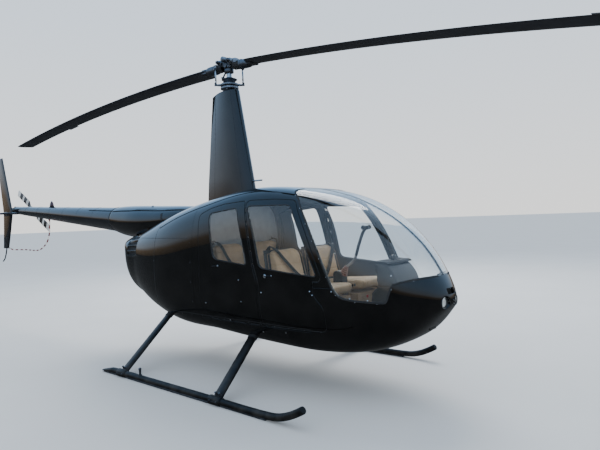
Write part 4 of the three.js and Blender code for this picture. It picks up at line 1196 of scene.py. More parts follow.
jointTurn = np.linspace(0, 2 * np.pi, 96, endpoint=False)
jointPath = spinePoint(np.full(96, -2.340), jointTurn, 0.0005)
jointOut = jointPath - jointPath.mean(0)
jointOut /= np.linalg.norm(jointOut, axis=1, keepdims=True)
putMesh("boomJoint", *sealForm(jointPath, jointOut, 0.007, 0.0016, 8), blackRubber)


# A strip along the spine's skin at x and turn, on either side
def onSpine(x, turn, sign, wide, thick, lift=0.0):
    path = spinePoint(x, turn, lift)
    out = path - np.stack([x, 0 * x, spineAt(x)[0]], -1)
    out /= np.linalg.norm(out, axis=1, keepdims=True)
    form = sealForm(path, out, wide, thick, 10, closed=False)
    return form if sign > 0 else mirrored(form)


line, slot = [], []
for sign in (1, -1):
    for rear, front, turn in spine["lines"]:
        line.append(onSpine(np.linspace(rear, front, 30), np.full(30, turn), sign, 0.0035, 0.0012))
    # Each slot is a black rubber strip laid on the skin: painted shade standing in for an opening
    turn = np.linspace(*spine["slotTurns"], 14)
    x = spine["slotX"] + spine["slotLean"] * (0.5 - np.linspace(0, 1, 14))
    slot.append(onSpine(x, turn, sign, spine["slotWide"], 0.003))
putMesh("spineSeams", *joinForms(*line), blackRubber)
putMesh("spineSlotsPaintedShade", *joinForms(*slot), blackRubber)
knobX, knobTurn = (np.array([v]) for v in spine["knob"])
knobPlace = spinePoint(knobX, knobTurn, -0.003)[0]
putMesh("spineKnob", *lathe([[0, 0.0], [0.017, 0.0], [0.017, 0.008], [0.012, 0.014], [0, 0.015]], knobPlace,
                            (0, -math.cos(knobTurn[0]), math.sin(knobTurn[0]))), steel, slot="steel")

# Air-data tube ahead of the mast: a tapered steel probe on a flange
pitot = {"path": [(0.225, 0, 1.972), (0.33, 0, 1.972), (0.437, 0, 1.972), (0.444, 0, 1.972)],
         "radius": (0.009, 0.009, 0.0085, 0.006)}
flange = lathe([[0, 0], [0.022, 0], [0.022, 0.004], [0.012, 0.010], [0, 0.010]], (0.297, 0, 1.972), (1, 0, 0),
               32)
putMesh("pitotTube", *joinForms(tube(pitot["path"], pitot["radius"], 20), flange), steel,
        replaces="pitot_tube",
        slot="steel")

# Fan inlet that closes the tail of the pod: a domed cap, a ring lip and the fan wheel behind it
tailCap = {"lipRadius": 0.128, "lipTube": 0.011, "centre": (-1.752, 0, 1.232), "blades": 26}


# Rings from the pod's end section, |y / w| ^ p + |z / h| ^ p = 1, to the inlet's circle
def tailCapForm(depth):
    turn = np.linspace(0, 2 * np.pi, 96, endpoint=False)
    section = pod["sections"][-1]
    upper = np.sin(turn) >= 0
    power = np.where(upper, section[5], pod["lowerPower"])
    side, rise = np.abs(np.cos(turn)) ** (2 / power), np.abs(np.sin(turn)) ** (2 / power)
    half = np.where(upper, section[2] - section[4], section[4] - section[1])
    border = np.stack([np.full(96, section[0]), section[3] * side * np.sign(np.cos(turn)),
                       section[4] + half * rise * np.sign(np.sin(turn))], -1)
    centre = np.array(tailCap["centre"])
    inner = centre + np.stack([0 * turn, tailCap["lipRadius"] * np.cos(turn),
                               tailCap["lipRadius"] * np.sin(turn)],
                              -1)
    share = np.linspace(0, 1, 12)[:, None, None]
    rings = border * (1 - share) + inner * share
    rings[..., 0] += depth + 0.020 * np.sin(share[..., 0] * np.pi) * -0.4
    return rings


outer, inner = tailCapForm(-0.001), tailCapForm(0.004)
capRings = np.concatenate([outer, inner[::-1], outer[:1]])
putMesh("tailCap", *skin(capRings, capped=False), glossBlack, slot=black)
centre = np.array(tailCap["centre"])
lipTurn = np.linspace(0, 2 * np.pi, 65)
lipPath = centre + np.stack([0 * lipTurn, np.cos(lipTurn), np.sin(lipTurn)], -1) * tailCap["lipRadius"]
lipNormal = np.tile([1.0, 0, 0], (65, 1))
lipRing = sealForm(lipPath[:-1], lipNormal[:-1], tailCap["lipTube"], tailCap["lipTube"], 14)
dish = lathe([[0, 0.05], [0.126, 0.05], [0.126, 0.0], [0.121, 0.0], [0.121, 0.044], [0, 0.044]], centre,
             (1, 0, 0))
putMesh("fanInlet", *joinForms(lipRing, dish), darkPlastic)
fan = [lathe([[0, -0.002], [0.026, -0.002], [0.040, 0.012], [0.040, 0.038], [0, 0.038]], centre, (1, 0, 0))]
for k in range(tailCap["blades"]):
    vane = brick((0.004, -0.0012, 0.038), (0.036, 0.0012, 0.116), 0.001, 3)
    vane = turned(turned(vane, 32, "Z", (0.02, 0, 0.07)), k * 360 / tailCap["blades"], "X")
    fan.append(shifted(vane, centre))
putMesh("fanWheel", *joinForms(*fan), castAlloy, slot="dark_metal")
print("boom, mast and tail cap made")


# Main rotor: it is built straight along X and turned to its rest place

rotor = {
    "restTurn": math.degrees(0.037), "radius": 5.030, "chord": 0.254, "height": 3.258, "coning": -0.0271,
    "teeter": 0.0431, "droop": -0.0153, "twist": -0.1, "quarter": 0.25,
    "stations": np.array([     # distance out, chord, thickness
        [0.143, 0.120, 0.090], [0.300, 0.150, 0.070], [0.360, 0.215, 0.048], [0.430, 0.254, 0.037],
        [1.500, 0.254, 0.034], [2.400, 0.254, 0.033], [3.300, 0.254, 0.033], [4.200, 0.254, 0.032],
        [4.980, 0.254, 0.031], [5.022, 0.250, 0.020], [5.030, 0.236, 0.008],
    ]),
    "tabAt": (3.55, 3.80),
}


# Middle of the blade and its two directions at distances out; hand is 1 for the blade that points ahead
def bladeAxes(out, hand):
    height = (rotor["height"] + (rotor["coning"] - hand * rotor["teeter"]) * out + rotor["droop"] * out**2)
    pitch = hand * rotor["twist"] * (out / rotor["radius"] - 0.75)
    axis = np.stack([hand * out, 0 * out, height], -1)
    noseward = np.stack([0 * out, hand * np.cos(pitch), hand * np.sin(pitch)], -1)
    upward = np.stack([0 * out, -np.sin(pitch), np.cos(pitch)], -1)
    return axis, noseward, upward


# Streamlined rings out along a blade; its root is round and blends by share ^ 2 * (3 - 2 * share)
def bladeForm(hand):
    out = np.concatenate([np.linspace(0.190, 0.46, 26), np.linspace(0.52, 4.98, 60), [5.004, 5.022, 5.030]])
    chord, thick = (np.interp(out, rotor["stations"][:, 0], rotor["stations"][:, k]) for k in (1, 2))
    axis, noseward, upward = bladeAxes(out, hand)
    share = np.clip((out - 0.27) / 0.13, 0, 1)
    round = 1 - share**2 * (3 - 2 * share)
    nosePoint = axis + noseward * (chord * rotor["quarter"])[:, None]
    return skin(streamRings(nosePoint, noseward, upward, chord, thick, 48, round, radius=0.040))


# Something built round the X axis, carried out along a blade and tilted with it
def alongBlade(form, out, hand):
    axis, noseward, upward = (v[0] for v in bladeAxes(np.array([out]), hand))
    ahead = (bladeAxes(np.array([out + 0.01]), hand)[0][0] - axis) / 0.01
    base = np.stack([ahead / np.linalg.norm(ahead), noseward, upward], 0)
    return np.asarray(form[0]) @ base + axis, form[1]


# Boot, fittings and pitch horn of a blade's root, carried out along the blade
def bladeRootParts(hand):
    ribs = np.linspace(0, 1, 45)
    boot = lathe(np.stack([0.040 + 0.0075 * np.abs(np.sin(ribs * np.pi * 4.5)) + 0.003 * ribs, 0.100 * ribs],
                          -1)
                 .tolist() + [[0.0, 0.100]], (0.0, 0, 0), (1, 0, 0), 40)
    boot = alongBlade(boot, 0.086, hand)
    collar = alongBlade(lathe([[0, 0], [0.054, 0], [0.056, 0.003], [0.056, 0.017], [0.051, 0.022],
                               [0.050, 0.100],
                               [0.047, 0.128], [0.040, 0.150], [0, 0.150]], (0, 0, 0), (1, 0, 0), 48), 0.187,
                        hand)
    clamp = alongBlade(slabForm(roundedOutline([[-0.01, -0.085, 0.02], [-0.01, 0.045, 0.03],
                                                [0.075, 0.045, 0.02],
                                                [0.075, -0.085, 0.03]]), -0.030, 0.026, axis=2, round=0.008),
                       0.335, hand)
    bolts = [alongBlade(nutForm((x, y, z * 0.027), (0, 0, z), 0.009, 0.009), 0.345, hand)
             for x in (0.012, 0.05) for y in (0.012, -0.050) for z in (1, -1)]
    turn = np.linspace(0, 2 * np.pi, 10, endpoint=False)
    ring = np.stack([np.full(10, 0.0), 0.047 * np.cos(turn), 0.047 * np.sin(turn)], -1)
    heads = alongBlade(headsOn(ring, np.tile([-1, 0, 0], (10, 1)), 0.0035, 0.003), 0.187, hand)
    hornStart, hornEnd = (hand * 0.250, 0, 3.250), (hand * 0.105, hand * 0.105, 3.250)
    hornPath = np.linspace(hornStart, hornEnd, 10)
    horn = tube(hornPath, np.interp(np.linspace(0, 1, 10), [0, 0.8, 1], [0.019, 0.011, 0.011]), 20)
    eye = lathe([[0.006, -0.009], [0.017, -0.009], [0.017, 0.009], [0.006, 0.009], [0.006, -0.009]],
                hornEnd, (0, 0, 1), 28)
    return boot, joinForms(collar, clamp, *bolts, heads), joinForms(horn, eye)


# A form turned to the main rotor's rest place
def onRotor(form):
    return turned(form, rotor["restTurn"])


for name, hand in (("forward", 1), ("aft", -1)):
    putMesh(f"rotorBlade_{name}", *onRotor(bladeForm(hand)), bladePaint, "main_rotor", f"rotor_blade_{name}",
            "blade_paint", sharp=50)
    boot, rootFittings, horn = bladeRootParts(hand)
    putMesh(f"bladeBoot_{name}", *onRotor(boot), blackRubber, "main_rotor")
    putMesh(f"bladeFittings_{name}", *onRotor(rootFittings), darkSteel, "main_rotor", slot="dark_metal")
    putMesh(f"pitchHorn_{name}", *onRotor(horn), castAlloy, "main_rotor", slot="dark_metal")
    tab = brick((rotor["tabAt"][0], -0.038, -0.0006), (rotor["tabAt"][1], 0.006, 0.0006), 0.0005, 3)
    out = np.array([np.mean(rotor["tabAt"])])
    axis, noseward, upward = (v[0] for v in bladeAxes(out, hand))
    slope = bladeAxes(out + 0.01, hand)[0][0] - axis
    base = np.stack([slope / np.linalg.norm(slope), noseward, upward], 0)
    tabMiddle = np.array([out[0], 0, 0])
    tabPoints = (tab[0] - tabMiddle) @ base + axis - noseward * rotor["chord"] * 0.735
    putMesh(f"trimTab_{name}", *onRotor((tabPoints, tab[1])), steel, "main_rotor", slot="steel")

hubPlan = roundedOutline([[-0.140, -0.052, 0.05], [-0.140, 0.052, 0.05], [-0.045, 0.060, 0.03],
                          [0.045, 0.060, 0.03], [0.140, 0.052, 0.05], [0.140, -0.052, 0.05],
                          [0.045, -0.060, 0.03], [-0.045, -0.060, 0.03]])
hub = {"high": 3.326, "waist": 3.262, "pins": ((-0.078, 3.298), (0.0, 3.320), (0.078, 3.298)),
       "pinRadius": 0.022}
hubForms = [slabForm(hubPlan * (1, 0.82), hub["waist"], hub["high"], axis=2, round=0.016),
            lathe([[0, 3.2385], [0.048, 3.2385], [0.054, 3.2445], [0.054, 3.262], [0.046, 3.282],
                   [0, 3.284]])]
pinForms = []
for x, z in hub["pins"]:
    for sign in (1, -1):
        wide = 0.031 if x == 0 else 0.029
        hubForms.append(lathe([[0, 0.0], [wide, 0.0], [wide, 0.024], [wide * 0.9, 0.030], [wide * 0.7, 0.034],
                               [0, 0.034]], (x, sign * 0.046, z), (0, sign, 0), 36))
        if x == 0:
            hubForms.append(lathe([[0, 0], [0.030, 0], [0.030, 0.018], [0.022, 0.026], [0.012, 0.029],
                                   [0, 0.030]],
                                  (x, sign * 0.080, z), (0, sign, 0), 36))
            continue
        pinForms.append(lathe([[0, 0], [hub["pinRadius"], 0], [hub["pinRadius"], 0.020], [0.019, 0.023],
                               [0, 0.023]], (x, sign * 0.080, z), (0, sign, 0), 30))
        pinForms.append(nutForm((x, sign * 0.103, z), (0, sign, 0), 0.017, 0.014))
        pinForms.append(lathe([[0, 0], [0.006, 0], [0.006, 0.004], [0, 0.005]], (x, sign * 0.117, z),
                              (0, sign, 0), 12))
for sign in (1, -1):
    pinForms.append(lathe([[0, 0], [0.028, 0], [0.028, 0.012], [0.024, 0.016], [0, 0.016]],
                          (0, sign * 0.048, 3.262), (0, sign, 0), 30))
capForm = lathe([[0, 3.318], [0.040, 3.318], [0.040, 3.326], [0.034, 3.340], [0.020, 3.349], [0, 3.351]])
capRing = headsOn(np.stack([0.034 * np.cos(np.arange(6) * np.pi / 3),
                            0.034 * np.sin(np.arange(6) * np.pi / 3),
                            np.full(6, 3.339)], -1), np.tile([0, 0, 1.0], (6, 1)), 0.004, 0.003)
putMesh("rotorHub", *onRotor(joinForms(*hubForms, capForm)), castAlloy, "main_rotor", "rotor_hub",
        "dark_metal",
        sharp=40)
putMesh("hubPins", *onRotor(joinForms(*pinForms, capRing)), darkSteel, "main_rotor", slot="dark_metal")
shaftForm = lathe([[0, 2.902], [0.028, 2.902], [0.028, 3.180], [0.0275, 3.182], [0.0275, 3.236], [0, 3.236]],
                  sides=56)
putMesh("mastShaft", *onRotor(shaftForm), steel, "main_rotor", "mast_shaft", "steel")

plate = {"armHeight": 3.054, "arm": (0.117, 0.117), "linkPlace": (0.105, 0.105)}
ringForm = lathe([[0.031, 3.043], [0.098, 3.043], [0.102, 3.047], [0.102, 3.060], [0.096, 3.065],
                  [0.060, 3.068],
                  [0.031, 3.068], [0.031, 3.043]], sides=72)
coneForm = lathe([[0.031, 3.069], [0.052, 3.069], [0.058, 3.080], [0.070, 3.098], [0.086, 3.110],
                  [0.087, 3.114],
                  [0.082, 3.117], [0.064, 3.108], [0.046, 3.106], [0.040, 3.135], [0.031, 3.138],
                  [0.031, 3.069]], sides=72)
rotating, links, ends = [ringForm], [], []
for sign in (1, -1):
    armPath = np.linspace((sign * 0.060, sign * 0.060, plate["armHeight"]),
                          (sign * plate["arm"][0], sign * plate["arm"][1], plate["armHeight"]), 9)
    rotating.append(tube(armPath, np.interp(np.linspace(0, 1, 9), [0, 0.7, 1], [0.016, 0.0105, 0.0105]), 18))
    x, y = sign * plate["linkPlace"][0], sign * plate["linkPlace"][1]
    links.append(lathe([[0, 3.084], [0.005, 3.084], [0.0055, 3.096], [0.0090, 3.102], [0.0090, 3.196],
                        [0.0055, 3.202], [0.005, 3.222], [0, 3.222]], (x, y, 0), sides=24))
    for z in (3.096, 3.204):
        links.append(nutForm((x, y, z - 0.004), (0, 0, 1), 0.0088, 0.007))
    for z in (3.073, 3.228):
        ends.append(lathe([[0, -0.009], [0.0125, -0.009], [0.014, -0.006], [0.014, 0.006], [0.0125, 0.009],
                           [0, 0.009]], (x, y, z), (sign, sign, 0), 22))
        ends.append(nutForm((x + sign * 0.006, y + sign * 0.006, z), (sign, sign, 0), 0.008, 0.008))
scissor = [brick((-0.094, -0.012, 3.064), (-0.066, 0.012, 3.082), 0.003),
           tube(np.linspace((-0.080, 0, 3.076), (-0.098, 0, 3.150), 6), 0.009, 14),
           tube(np.linspace((-0.098, 0, 3.150), (-0.050, 0, 3.208), 6), 0.009, 14),
           lathe([[0, -0.018], [0.011, -0.018], [0.011, 0.018], [0, 0.018]], (-0.098, 0, 3.150), (0, 1, 0),
                 20),
           lathe([[0.0285, 3.188], [0.050, 3.188], [0.052, 3.191], [0.052, 3.222], [0.050, 3.226],
                  [0.0285, 3.226], [0.0285, 3.188]], sides=48)]
putMesh("swashplateRotating", *onRotor(joinForms(*rotating)), castAlloy, "main_rotor", "swashplate_rotating",
        "dark_metal")
putMesh("swashplateCone", *onRotor(coneForm), darkSteel, "main_rotor", slot="dark_metal")
putMesh("pitchLinks", *onRotor(joinForms(*links)), steel, "main_rotor", slot="steel")
putMesh("rodEnds", *onRotor(joinForms(*ends)), darkSteel, "main_rotor", slot="dark_metal")
putMesh("scissorLink", *onRotor(joinForms(*scissor)), darkSteel, "main_rotor", slot="dark_metal")

fixedPlate = lathe([[0.034, 2.890], [0.046, 2.890], [0.046, 2.994], [0.060, 3.000], [0.096, 3.006],
                    [0.100, 3.010],
                    [0.100, 3.026], [0.097, 3.029], [0.034, 3.029], [0.034, 2.890]], sides=72)
turn = np.arange(12) * np.pi / 6
ring = np.stack([0.084 * np.cos(turn), 0.084 * np.sin(turn), np.full(12, 3.029)], -1)
brackets = [joinForms(brick((0.052, -0.010, 2.984), (0.088, 0.010, 3.012), 0.004),
                      lathe([[0, -0.018], [0.008, -0.018], [0.008, 0.018], [0, 0.018]], (0.064, 0, 2.992),
                            (0, 1, 0), 16),
                      tube(np.linspace((0.062, 0, 2.996), (0.052, 0, 2.930), 4), 0.007, 14))]
brackets += [turned(brackets[0], a) for a in (65, -65, 170)]
putMesh("swashplateFixed", *joinForms(fixedPlate, headsOn(ring, np.tile([0, 0, 1.0], (12, 1)), 0.006, 0.004)),
        castAlloy, replaces="swashplate_fixed", slot="dark_metal")
putMesh("controlBrackets", *joinForms(*brackets), darkSteel, slot="dark_metal")
print("main rotor made")


# Skids, struts and their fittings

gear = {
    "halfTrack": 1.083, "height": 0.038, "radius": 0.030, "shoe": (-0.940, 1.440), "chord": 0.108,
    "thickness": 0.042, "saddle": 0.075, "pegX": -0.285, "heelX": -0.780, "heelShare": 0.72,
    "path": ((-0.966, 0.0), (-0.300, 0.0), (0.600, 0.0), (1.460, 0.0), (1.560, 0.010), (1.650, 0.036),
             (1.735, 0.074), (1.816, 0.119)),
    "struts": {"front": (0.845, (0.650, 0.330, 0.525)), "rear": (-0.600, (-0.690, 0.330, 0.600))},
}


# A tube along the path; behind heelX its height over its own underside shrinks by up to heelShare
def skidForm():
    path = np.array([[x, -gear["halfTrack"], gear["height"] + rise] for x, rise in gear["path"]])
    path = smoothPath(path, 90)
    ends = np.array([0.0, 0.001, 0.004, 0.009])
    first = path[0] + (path[1] - path[0]) / np.linalg.norm(path[1] - path[0]) * ends[:, None]
    last = path[-1] - (path[-1] - path[-2]) / np.linalg.norm(path[-1] - path[-2]) * ends[::-1, None]
    inner = path[(path[:, 0] > first[-1, 0] + 0.01) & (path[:, 0] < last[0, 0] - 0.01)]
    rounded = gear["radius"] * np.array([0.72, 0.86, 0.96, 1.0])
    radius = np.concatenate([rounded, np.full(len(inner), gear["radius"]), rounded[::-1]])
    points, faces = tube(np.concatenate([first, inner, last]), radius, 32)
    low = gear["height"] - gear["radius"]
    share = np.clip((gear["heelX"] - points[:, 0]) / (gear["heelX"] - gear["path"][0][0]), 0, 1)
    points[:, 2] = low + (points[:, 2] - low) * (1 - gear["heelShare"] * share)
    return points, faces


# Streamlined rings at equal shares of a strut's length, grown on every side
def strutRings(name, count=26, grow=0.0, part=(0.0, 1.0)):
    footX, root = gear["struts"][name]
    foot = np.array([footX, -gear["halfTrack"], gear["height"]])
    root = np.array([root[0], -root[1], root[2]])
    middle = foot + (root - foot) * np.linspace(*part, count)[:, None]
    across = np.cross((root - foot) * (0, 1, 1), (1, 0, 0))
    across /= np.linalg.norm(across)
    chord = gear["chord"] + 2 * grow
    nosePoint = middle + np.array([chord / 2, 0, 0])
    return streamRings(nosePoint, (1, 0, 0), across, np.full(count, chord),
                       np.full(count, gear["thickness"] + 2 * grow),
                       44)


# Share of a strut's length at which it enters the belly
def strutEntry(name):
    footX, root = gear["struts"][name]
    foot = np.array([footX, -gear["halfTrack"], gear["height"]])
    along = np.linspace(0, 1, 400)
    points = foot + (np.array([root[0], -root[1], root[2]]) - foot) * along[:, None]
    return float(along[np.argmax(points[:, 2] > podHeight(points[:, 0], points[:, 1], above=False))])


skidTube = skidForm()
shoeForm = brick((gear["shoe"][0], -gear["halfTrack"] - 0.020, 0.0),
                 (gear["shoe"][1], -gear["halfTrack"] + 0.020,
                  0.016), 0.004)
shoeBolts = np.array([[x, -gear["halfTrack"] + side * 0.0195, 0.010] for x in np.linspace(-0.90, 1.40, 14)
                      for side in (-1, 1)])
shoeHeads = headsOn(shoeBolts, np.stack([0 * shoeBolts[:, 0], shoeBolts[:, 1] + gear["halfTrack"],
                                         0 * shoeBolts[:, 0]], -1), 0.0045, 0.003)
peg = joinForms(lathe([[0, 0.0], [0.011, 0.0], [0.011, 0.058], [0.015, 0.060], [0.015, 0.070], [0.009, 0.076],
                       [0, 0.076]], (gear["pegX"], -gear["halfTrack"], gear["height"] + 0.024), (0, 0, 1),
                      20),
                lathe([[0, 0], [0.020, 0], [0.020, 0.006], [0, 0.006]],
                      (gear["pegX"], -gear["halfTrack"], gear["height"] + 0.026), (0, 0, 1), 24))
for side, flip in fromRight:
    putMesh(f"skidTube_{side}", *flip(skidTube), satinBlack, replaces=f"skid_{side}", slot="satin_black")
    putMesh(f"skidShoe_{side}", *flip(joinForms(shoeForm, shoeHeads)), darkSteel, slot="dark_metal")
    putMesh(f"skidPeg_{side}", *flip(peg), darkSteel, slot="dark_metal")
    for name in gear["struts"]:
        entry = strutEntry(name)
        leg = skin(strutRings(name, part=(0.0, entry + 0.03)))
        cuff = skin(strutRings(name, 8, grow=0.006, part=(entry - 0.045, entry + 0.02)))
        footX = gear["struts"][name][0]
        wide = gear["saddle"]
        sleeve = lathe([[0.0302, -wide], [0.035, -wide + 0.001], [0.0372, -wide + 0.005],
                        [0.0372, wide - 0.005],
                        [0.035, wide - 0.001], [0.0302, wide], [0.0302, -wide]],
                       (footX, -gear["halfTrack"], gear["height"]), (1, 0, 0), 44)
        flanges = [brick((footX - 0.060, -gear["halfTrack"] + k * 0.035 - 0.012, gear["height"] - 0.004),
                         (footX + 0.060, -gear["halfTrack"] + k * 0.035 + 0.012, gear["height"] + 0.004),
                         0.003)
                   for k in (-1, 1)]
        bolts = [nutForm((footX + x, -gear["halfTrack"] + k * 0.040, gear["height"] + 0.003), (0, 0, 1),
                         0.0065, 0.007)
                 for x in (-0.042, 0.042) for k in (-1, 1)]
        bolts += [lathe([[0, -0.027], [0.008, -0.027], [0.009, -0.024], [0.009, 0.024], [0.008, 0.027],
                         [0, 0.027]],
                        (footX + x, -gear["halfTrack"] + 0.030, gear["height"] + 0.040), (0, 0.55, -0.83), 16)
                  for x in (-0.025, 0.025)]
        putMesh(f"strut_{name}_{side}_leg", *flip(leg), satinBlack, replaces=f"strut_{name}_{side}",
                slot="satin_black")
        putMesh(f"strutSaddle_{name}_{side}", *flip(joinForms(sleeve, *flanges)), satinBlack,
                slot="satin_black")
        putMesh(f"strutBolts_{name}_{side}", *flip(joinForms(*bolts)), darkSteel, slot="dark_metal")
        putMesh(f"strutCuff_{name}_{side}", *flip(cuff), blackRubber)


# Tail: gearbox, fins, stabiliser, guard, skid, beacon and tail rotor

tail = {
    "finY": -0.118, "stabiliserHeight": 1.840,
    "upperFin": ((1.852, -5.690, -6.085, 0.044), (1.960, -5.722, -6.100, 0.044),
                 (2.870, -6.030, -6.290, 0.026)),
    "lowerFin": ((1.828, -5.692, -6.085, 0.040), (1.550, -5.785, -6.110, 0.036),
                 (1.210, -5.912, -6.150, 0.026)),
    "stabiliser": ((-0.050, -5.560, -5.880, 0.040), (-0.820, -5.640, -5.880, 0.028)),
    "guard": ((-5.950, -0.094, 1.222), (-5.860, -0.080, 1.192), (-5.500, 0.0, 1.184), (-5.024, 0.030, 1.180),
              (-4.867, 0.040, 1.233), (-4.714, 0.040, 1.322), (-4.641, 0.038, 1.420), (-4.593, 0.030, 1.491),
              (-4.562, 0.020, 1.588), (-4.531, 0.010, 1.672), (-4.512, 0.0, 1.715)),
    "skid": ((-6.010, -0.118, 1.214), (-6.050, -0.118, 1.120), (-6.120, -0.118, 1.020),
             (-6.210, -0.118, 0.965)),
    "tube": 0.0105, "stripe": 0.135,
    "hub": (-5.890, 0.330, 1.905), "restTurn": 27.0, "radius": 0.737, "chord": 0.128,
    "bands": ((0.135, 0.240), (0.320, 0.435), (0.500, 0.615)),
}


# A streamlined panel through stations of level, nose x, tail x and thickness, its far end rounded off
def finForm(stations, across, noseAt, rim=0.014):
    stations = np.asarray(stations, float)
    direction = np.sign(stations[-1, 0] - stations[0, 0])
    level = np.linspace(stations[0, 0], stations[-1, 0] - direction * rim, 24)
    bend = np.linspace(0.2, np.pi / 2 - 0.02, 7)
    order = stations[np.argsort(stations[:, 0])]
    noseX, tailX, thick = (np.interp(level, order[:, 0], order[:, k]) for k in (1, 2, 3))
    shrink = np.cos(bend)
    level = np.concatenate([level, level[-1] + direction * rim * np.sin(bend)])
    noseX = np.concatenate([noseX, noseX[-1] - rim * 1.4 * (1 - shrink)])
    tailX = np.concatenate([tailX, tailX[-1] + rim * 1.2 * (1 - shrink)])
    thick = np.concatenate([thick, thick[-1] * shrink])
    return skin(streamRings(noseAt(noseX, level), (1, 0, 0), across, noseX - tailX, thick, 48))


# Nose points of an upright fin
def finNose(x, level):
    return np.stack([x, np.full_like(x, tail["finY"]), level], -1)


# Nose points of the flat stabiliser
def stabiliserNose(x, level):
    return np.stack([x, level, np.full_like(x, tail["stabiliserHeight"])], -1)


# Red and white stripes along a tube, worn at their edges
def stripedFinish(name, pitch, first, second):
    material, tree, shader, place = newMaterial(name)
    along = addNode(tree, "ShaderNodeAttribute", attribute_name="along")
    grain = grainIn(tree, place, 300.0, 30.0, 0.6)
    wobble = addNode(tree, "ShaderNodeMath", {0: grain.outputs["Height"], 1: 0.006}, operation="MULTIPLY")
    shifted = addNode(tree, "ShaderNodeMath", {0: along.outputs["Fac"], 1: wobble.outputs[0]},
                      operation="ADD")
    turns = addNode(tree, "ShaderNodeMath", {0: shifted.outputs[0], 1: pitch}, operation="DIVIDE")
    part = addNode(tree, "ShaderNodeMath", {0: turns.outputs[0]}, operation="FRACT")
    stripe = addNode(tree, "ShaderNodeMath", {0: part.outputs[0], 1: 0.5}, operation="GREATER_THAN")
    tree.links.new(mixColor(tree, stripe.outputs[0], first, second), shader.inputs["Base Color"])
    rough = addNode(tree, "ShaderNodeMapRange",
                    {"Value": grain.outputs["Mask"], "To Min": 0.3, "To Max": 0.55})
    tree.links.new(rough.outputs[0], shader.inputs["Roughness"])
    tree.links.new(bumpFrom(tree, grain.outputs["Height"], 0.1, 0.0006).outputs[0], shader.inputs["Normal"])
    return material


# White blade with black bands at given distances from its hub, and scuffed paint between
def bandedFinish(name, centre, bands, white, dark):
    material, tree, shader, place = newMaterial(name)
    moved = addNode(tree, "ShaderNodeMapping", {"Vector": place, "Location": tuple(-c for c in centre)})
    distance = addNode(tree, "ShaderNodeVectorMath", {0: moved.outputs[0]},
                       operation="LENGTH").outputs["Value"]
    total = 0.0
    for low, high in bands:
        band = addNode(tree, "ShaderNodeMath", {0: distance, 1: (low + high) / 2, 2: (high - low) / 2},
                       operation="COMPARE")
        total = addNode(tree, "ShaderNodeMath", {0: band.outputs[0], 1: total}, operation="ADD").outputs[0]
    grain = grainIn(tree, place, 260.0, 18.0, 0.6)
    scuffed = mixColor(tree, grain.outputs["Mask"], white, tuple(c * 0.82 for c in white))
    tree.links.new(mixColor(tree, total, scuffed, dark), shader.inputs["Base Color"])
    rough = addNode(tree, "ShaderNodeMapRange",
                    {"Value": grain.outputs["Mask"], "To Min": 0.28, "To Max": 0.5})
    tree.links.new(rough.outputs[0], shader.inputs["Roughness"])
    tree.links.new(bumpFrom(tree, grain.outputs["Height"], 0.08, 0.0006).outputs[0], shader.inputs["Normal"])
    return material


hubX, hubY, hubZ = tail["hub"]
stripedPaint = stripedFinish("stripedPaint", tail["stripe"], (0.74, 0.68, 0.64), (0.16, 0.012, 0.012))
bandedPaint = bandedFinish("bandedBladePaint", (hubX + mastX, hubY, hubZ), tail["bands"], (0.78, 0.78, 0.76),
                           (0.012, 0.012, 0.014))
lensRed = paintFinish("beaconLens", (0.035, 0.004, 0.003), roughness=0.08, ripple=0.05, dust=0.02,
                      coatIor=1.5,
                      specular=0.5)

putMesh("upperFin", *finForm(tail["upperFin"], (0, 1, 0), finNose), boomBlack, replaces="upper_fin",
        slot=black)
putMesh("lowerFin", *finForm(tail["lowerFin"], (0, 1, 0), finNose), boomBlack, replaces="lower_fin",
        slot=black)
putMesh("stabiliser", *finForm(tail["stabiliser"], (0, 0, 1), stabiliserNose), boomBlack,
        replaces="horizontal_stabiliser", slot=black)
finBolts = [(-5.78, 1.862), (-5.90, 1.862), (-6.00, 1.862), (-5.78, 1.812), (-5.90, 1.812), (-6.00, 1.812)]
boltPlaces = np.array([[x, tail["finY"] - 0.0215, z] for x, z in finBolts])
clips = brick((-6.03, tail["finY"] - 0.021, 1.800), (-5.75, tail["finY"] - 0.017, 1.876), 0.002)
putMesh("finPlate", *joinForms(clips, headsOn(boltPlaces, np.tile([0, -1.0, 0], (6, 1)), 0.006, 0.004)),
        boomBlack,
        slot=black)

boxForm = lathe([[0, 0], [0.058, 0], [0.065, 0.004], [0.0655, 0.030], [0.062, 0.040], [0.060, 0.120],
                 [0.058, 0.150], [0.052, 0.178], [0.038, 0.196], [0.018, 0.204], [0, 0.205]],
                (boom["rearX"] - 0.0003, 0, boom["rearZ"]), (-1, 0, 0), 56)
armForm = lathe([[0, -0.040], [0.040, -0.040], [0.044, -0.034], [0.043, 0.070], [0.036, 0.084],
                 [0.035, 0.150],
                 [0.040, 0.156], [0.040, 0.176], [0.033, 0.184], [0.031, 0.246], [0, 0.250]],
                (hubX, 0, hubZ), (0, 1, 0), 44)
turn = np.arange(8) * np.pi / 4
flangeBolts = np.stack([np.full(8, boom["rearX"] - 0.034), 0.060 * np.cos(turn),
                        boom["rearZ"] + 0.060 * np.sin(turn)], -1)
gearHeads = headsOn(flangeBolts, np.tile([-1.0, 0, 0], (8, 1)), 0.005, 0.006)
filler = lathe([[0, 0], [0.016, 0], [0.016, 0.014], [0.012, 0.018], [0, 0.018]],
               (boom["rearX"] - 0.10, 0, boom["rearZ"] + 0.056), (0, 0, 1), 6)
putMesh("tailGearbox", *joinForms(boxForm, armForm, filler), satinBlack, replaces="tail_gearbox",
        slot="satin_black")
putMesh("gearboxBolts", *gearHeads, steel, slot="steel")

